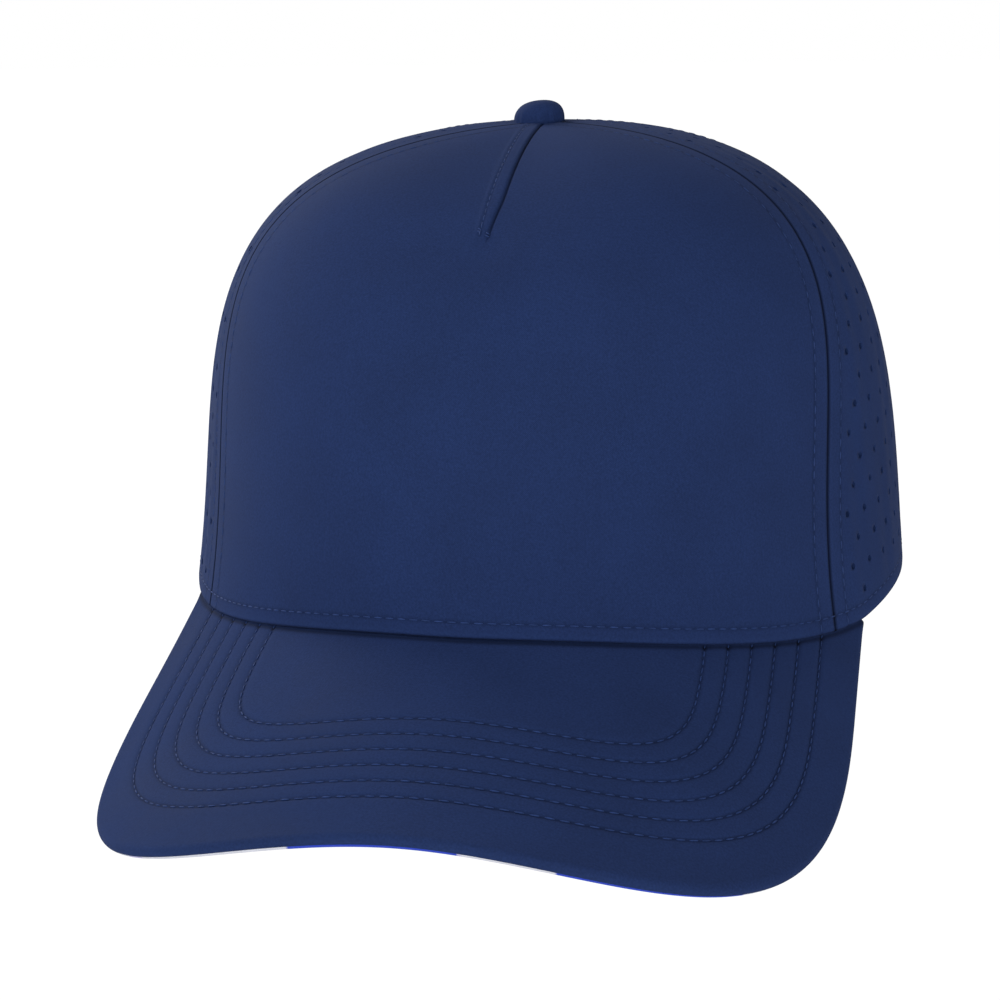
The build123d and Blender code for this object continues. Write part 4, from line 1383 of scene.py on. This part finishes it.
strap = strip("strap_cloth_strip", FLAP_END_TURN, ROOT_TURN, STRAP_DEPTH + CLEAR, CLOTH_TAPE, 0.0001,
              STRAP_CLOTH, round_start=0.009)
finish_piece(fold_with_flap(strap), None, "strap_cloth", "strap_root", "strap_flap")
hook = strip("hook_tape_strip", FLAP_END_TURN + PILE_INSET_TURN, TAB_END_TURN, HOOK_DEPTH, TAPE_PILE,
             PILE_MARGIN, HOOK_TAPE, round_start=0.007)
finish_piece(hook, "strap_flap", "hook_tape", "hook_patch")
strap_rows = strip_rows(FLAP_END_TURN + 6, ROOT_TURN - 1, STRAP_DEPTH)
fold_with_flap(stitches("strap_stitches", strap_rows, None, "strap_cloth"))
tab_rows = strip_rows(-ROOT_TURN + 1, TAB_END_TURN - 6, TAB_DEPTH + 0.00098)
stitches("tab_stitches", tab_rows, "cover", "strap_cloth")

POCKET_START, POCKET_END, POCKET_THICKNESS, POCKET_OVERLAP = 29.0, 53.0, 0.00055, 0.0009
BAR_INSET_TURN = 1.2
bar = np.linspace(STRAP_FOOT, STRAP_TOP, 30)
for side, label in ((1, "right"), (-1, "left")):
    ends = sorted((side * POCKET_START, side * POCKET_END))
    pocket = strip(label + "_pocket_cloth", *ends, POCKET_DEPTH, POCKET_THICKNESS, -POCKET_OVERLAP,
                   TAPE_CLOTH)
    finish_piece(pocket, "cover", "tape_cloth", label + "_strap_pocket")
    bars = [strap_point(side * turn, POCKET_DEPTH + POCKET_THICKNESS, bar)
            for turn in (POCKET_START + BAR_INSET_TURN, POCKET_END - BAR_INSET_TURN)]
    stitches(label + "_pocket_stitches", bars, "cover", "tape_cloth")

# %% [markdown]
# ## The insert
# The shell is a thin moulded cap of grained ABS with slots for air. The CAD shell already has its true
# slots and edges, so it keeps its mesh and only gets a better finish. The foam pads are cut from sheet
# foam, so they have square sides with softly rounded edges, and they are remade as rounded pieces.

# %% Insert finishes
def plastic(name, colour, grain, depth, roughness):
    material, place = start_material(name)
    cells = place.node("ShaderNodeTexVoronoi", {"Vector": place, "Scale": 1 / grain})
    broad = noise(place, 30.0)
    return finish_material(
        material, base_color=tinted(colour, broad.clamp(0.3, 0.7, 0.95, 1.05)),
        normal=bumpy(cells, depth, 0.5), roughness=broad.clamp(0.3, 0.7, roughness - 0.06, roughness + 0.06))


def foam(name, colour):
    material, place = start_material(name)
    cells = place.node("ShaderNodeTexVoronoi", {"Vector": place, "Scale": 1400.0})
    soft = noise(place, 60.0)
    shade = cells.clamp(0.0, 0.5, 0.82, 1.06) * soft.clamp(0.3, 0.7, 0.95, 1.05)
    return finish_material(material, base_color=tinted(colour, shade), roughness=0.95, sheen_weight=0.15,
                           normal=bumpy(cells + soft, 0.00025, 0.6))


def rubbed_metal(name, colour):
    material, place = start_material(name)
    return finish_material(material, base_color=colour, metallic=1.0,
                           roughness=noise(place, 900.0).clamp(0.3, 0.7, 0.28, 0.42))


PAD_FOAM = foam("pad_foam", (0.055, 0.060, 0.070))
for node, material in (
    ("bump_shell", plastic("shell_abs", (0.012, 0.012, 0.014), 0.0007, 0.00006, 0.42)),
    ("brim_board", plastic("brim_board_plastic", (0.62, 0.62, 0.60), 0.0012, 0.00003, 0.5)),
    ("button_rivet", rubbed_metal("rivet_metal", (0.60, 0.60, 0.62, 1))),
):
    for place in bpy.data.objects[node].material_slots:
        place.material = material
    print(node, "repainted")

# %% [markdown]
# ### Foam pads
# A pad is a closed strip between two depths below the cloth, full in the middle and thin at its rim. A
# band of heights gives the pads round the head, and a band of distances from the top gives the crown's.

# %% Pads
PAD_DEPTH, PAD_THICKNESS = 0.0072, 0.0040
PAD_CLEAR, PAD_FILL = 0.0001, 0.9
CROWN_PAD_OUTSIDE, CROWN_PAD_INSIDE = 0.046, 0.014


def soft_pad(name, start, end, columns, foot_rise, top_rise, node):
    """Foam with rounded edges on the head side; its foot and top rises are formulas of the azimuth."""
    azimuth = np.linspace(start, end, columns)[:, None]
    rise = mix(foot_rise(azimuth), top_rise(azimuth), np.linspace(0, 1, 26)[None, :])
    piece = layer(name, azimuth, rise, PAD_DEPTH + PAD_CLEAR, PAD_DEPTH + PAD_THICKNESS - PAD_CLEAR,
                  PAD_FOAM, bulge(columns, 26, 0.09))
    finish_piece(piece, "insert", "pad_foam", node)


for name, start, end, foot, top in (
    ("front_pad", -36, 36, 0.038, 0.062),
    ("left_side_pad", 62, 112, 0.042, 0.064),
    ("right_side_pad", -112, -62, 0.042, 0.064),
    ("rear_pad", 150, 210, 0.060, 0.080),
):
    soft_pad(name + "_foam", start, end, max(24, int((end - start) * 0.9)),
             lambda azimuth: rise_at(azimuth, foot), lambda azimuth: rise_at(azimuth, top), name)
for side, label in ((1, "left"), (-1, "right")):
    soft_pad(label + "_crown_pad_foam", *sorted((side * 35.0, side * 145.0)), 60,
             lambda azimuth: radius_rise(azimuth, CROWN_PAD_OUTSIDE),
             lambda azimuth: radius_rise(azimuth, CROWN_PAD_INSIDE), "crown_pads")

# %% [markdown]
# ### Hook and loop dots
# Four small squares hold the shell in the cover: loop on the cover, hook on the shell.

# %% Dots
DOT_SIZE, DOT_HEIGHT, DOT_THICKNESS = 0.0120, 0.0740, 0.0015
across = np.linspace(-DOT_SIZE / 2, DOT_SIZE / 2, 12)[:, None]
for label, depth, material, body in (("loop", 0.0015, LOOP_TAPE, "cover"),
                                     ("hook", 0.0034, HOOK_TAPE, "insert")):
    for count, middle in enumerate((-REAR_SEAM, -30.0, 30.0, REAR_SEAM)):
        foot, top = rise_at(middle, DOT_HEIGHT - DOT_SIZE / 2), rise_at(middle, DOT_HEIGHT + DOT_SIZE / 2)
        rise = np.linspace(foot, top, 12)[None, :]
        dot = layer("%s_dot_%d" % (label, count + 1), sideways(middle, rise, across), rise,
                    depth + PAD_CLEAR, depth + DOT_THICKNESS - PAD_CLEAR, material, bulge(12, 12, 0.2))
        finish_piece(dot, body, label + "_tape", label + "_dots")

# %% [markdown]
# ## Floor and light
# The cap stands on plain white, lit by a large soft light from the upper left. The floor is pale
# and keeps a faint shadow of its own, and the world is white where the camera sees it.

# %% Stage
FLOOR_HEIGHT = -0.165


FLOOR_HALF = 6


def make_floor():
    corners = [(x * FLOOR_HALF, y * FLOOR_HALF, FLOOR_HEIGHT)
               for x, y in ((-1, -1), (1, -1), (1, 1), (-1, 1))]
    mesh = bpy.data.meshes.new("floor")
    mesh.from_pydata(corners, [], [(0, 1, 2, 3)])
    material, wire = start_material("floor_white")
    finish_material(material, base_color=(0.9, 0.9, 0.9, 1), roughness=0.9)
    paper = Wire(wire.tree, wire.tree.nodes["Principled BSDF"].outputs[0])
    seen = wire.node("ShaderNodeLightPath", {}, output="Is Camera Ray")
    glow = wire.node("ShaderNodeEmission", {"Color": (1, 1, 1, 1), "Strength": 1.08})
    lit = wire.node("ShaderNodeMixShader", {0: seen * 0.93, 1: paper, 2: glow})
    below = wire.node("ShaderNodeNewGeometry", {}, output="Backfacing")
    clear = wire.node("ShaderNodeBsdfTransparent", {})
    mixed = wire.node("ShaderNodeMixShader", {0: below, 1: lit, 2: clear})
    wire.tree.links.new(mixed.socket, wire.tree.nodes["Material Output"].inputs["Surface"])
    new_object("floor", mesh, material)


def area_light(name, place, aim, power, size):
    data = bpy.data.lights.new(name, "AREA")
    data.energy, data.size, data.shape = power, size, "DISK"
    light = add_object(name, data)
    light.location = place
    light.rotation_mode = "QUATERNION"
    light.rotation_quaternion = (Vector(aim) - Vector(place)).to_track_quat("-Z", "Y")
    print(name, "light", power, "W")


make_floor()
area_light("key", (-1.10, -0.66, 1.00), (0, -0.03, 0.03), 8.0, 0.8)
area_light("left_back", (-1.05, 0.78, 0.74), (0, -0.03, 0.03), 11, 0.9)
area_light("front", (0.45, -1.45, 0.25), (0, -0.05, 0.02), 8.8, 1.0)
area_light("right", (1.4, -0.5, 0.35), (0, 0, 0.03), 2.5, 0.8)
area_light("back", (0.5, 1.3, 0.7), (0, 0, 0.03), 2, 1.0)

SKY_FILL = 0.22
world = bpy.data.worlds.new("studio")
bpy.context.scene.world = world
world.use_nodes = True
sky = Wire(world.node_tree)
seen = sky.node("ShaderNodeLightPath", {}, output="Is Camera Ray")
background = world.node_tree.nodes["Background"]
background.inputs["Color"].default_value = (1, 1, 1, 1)
sky_strength = seen * (1 - SKY_FILL) + SKY_FILL
world.node_tree.links.new(sky_strength.socket, background.inputs["Strength"])
bpy.context.scene.view_settings.view_transform = "Standard"
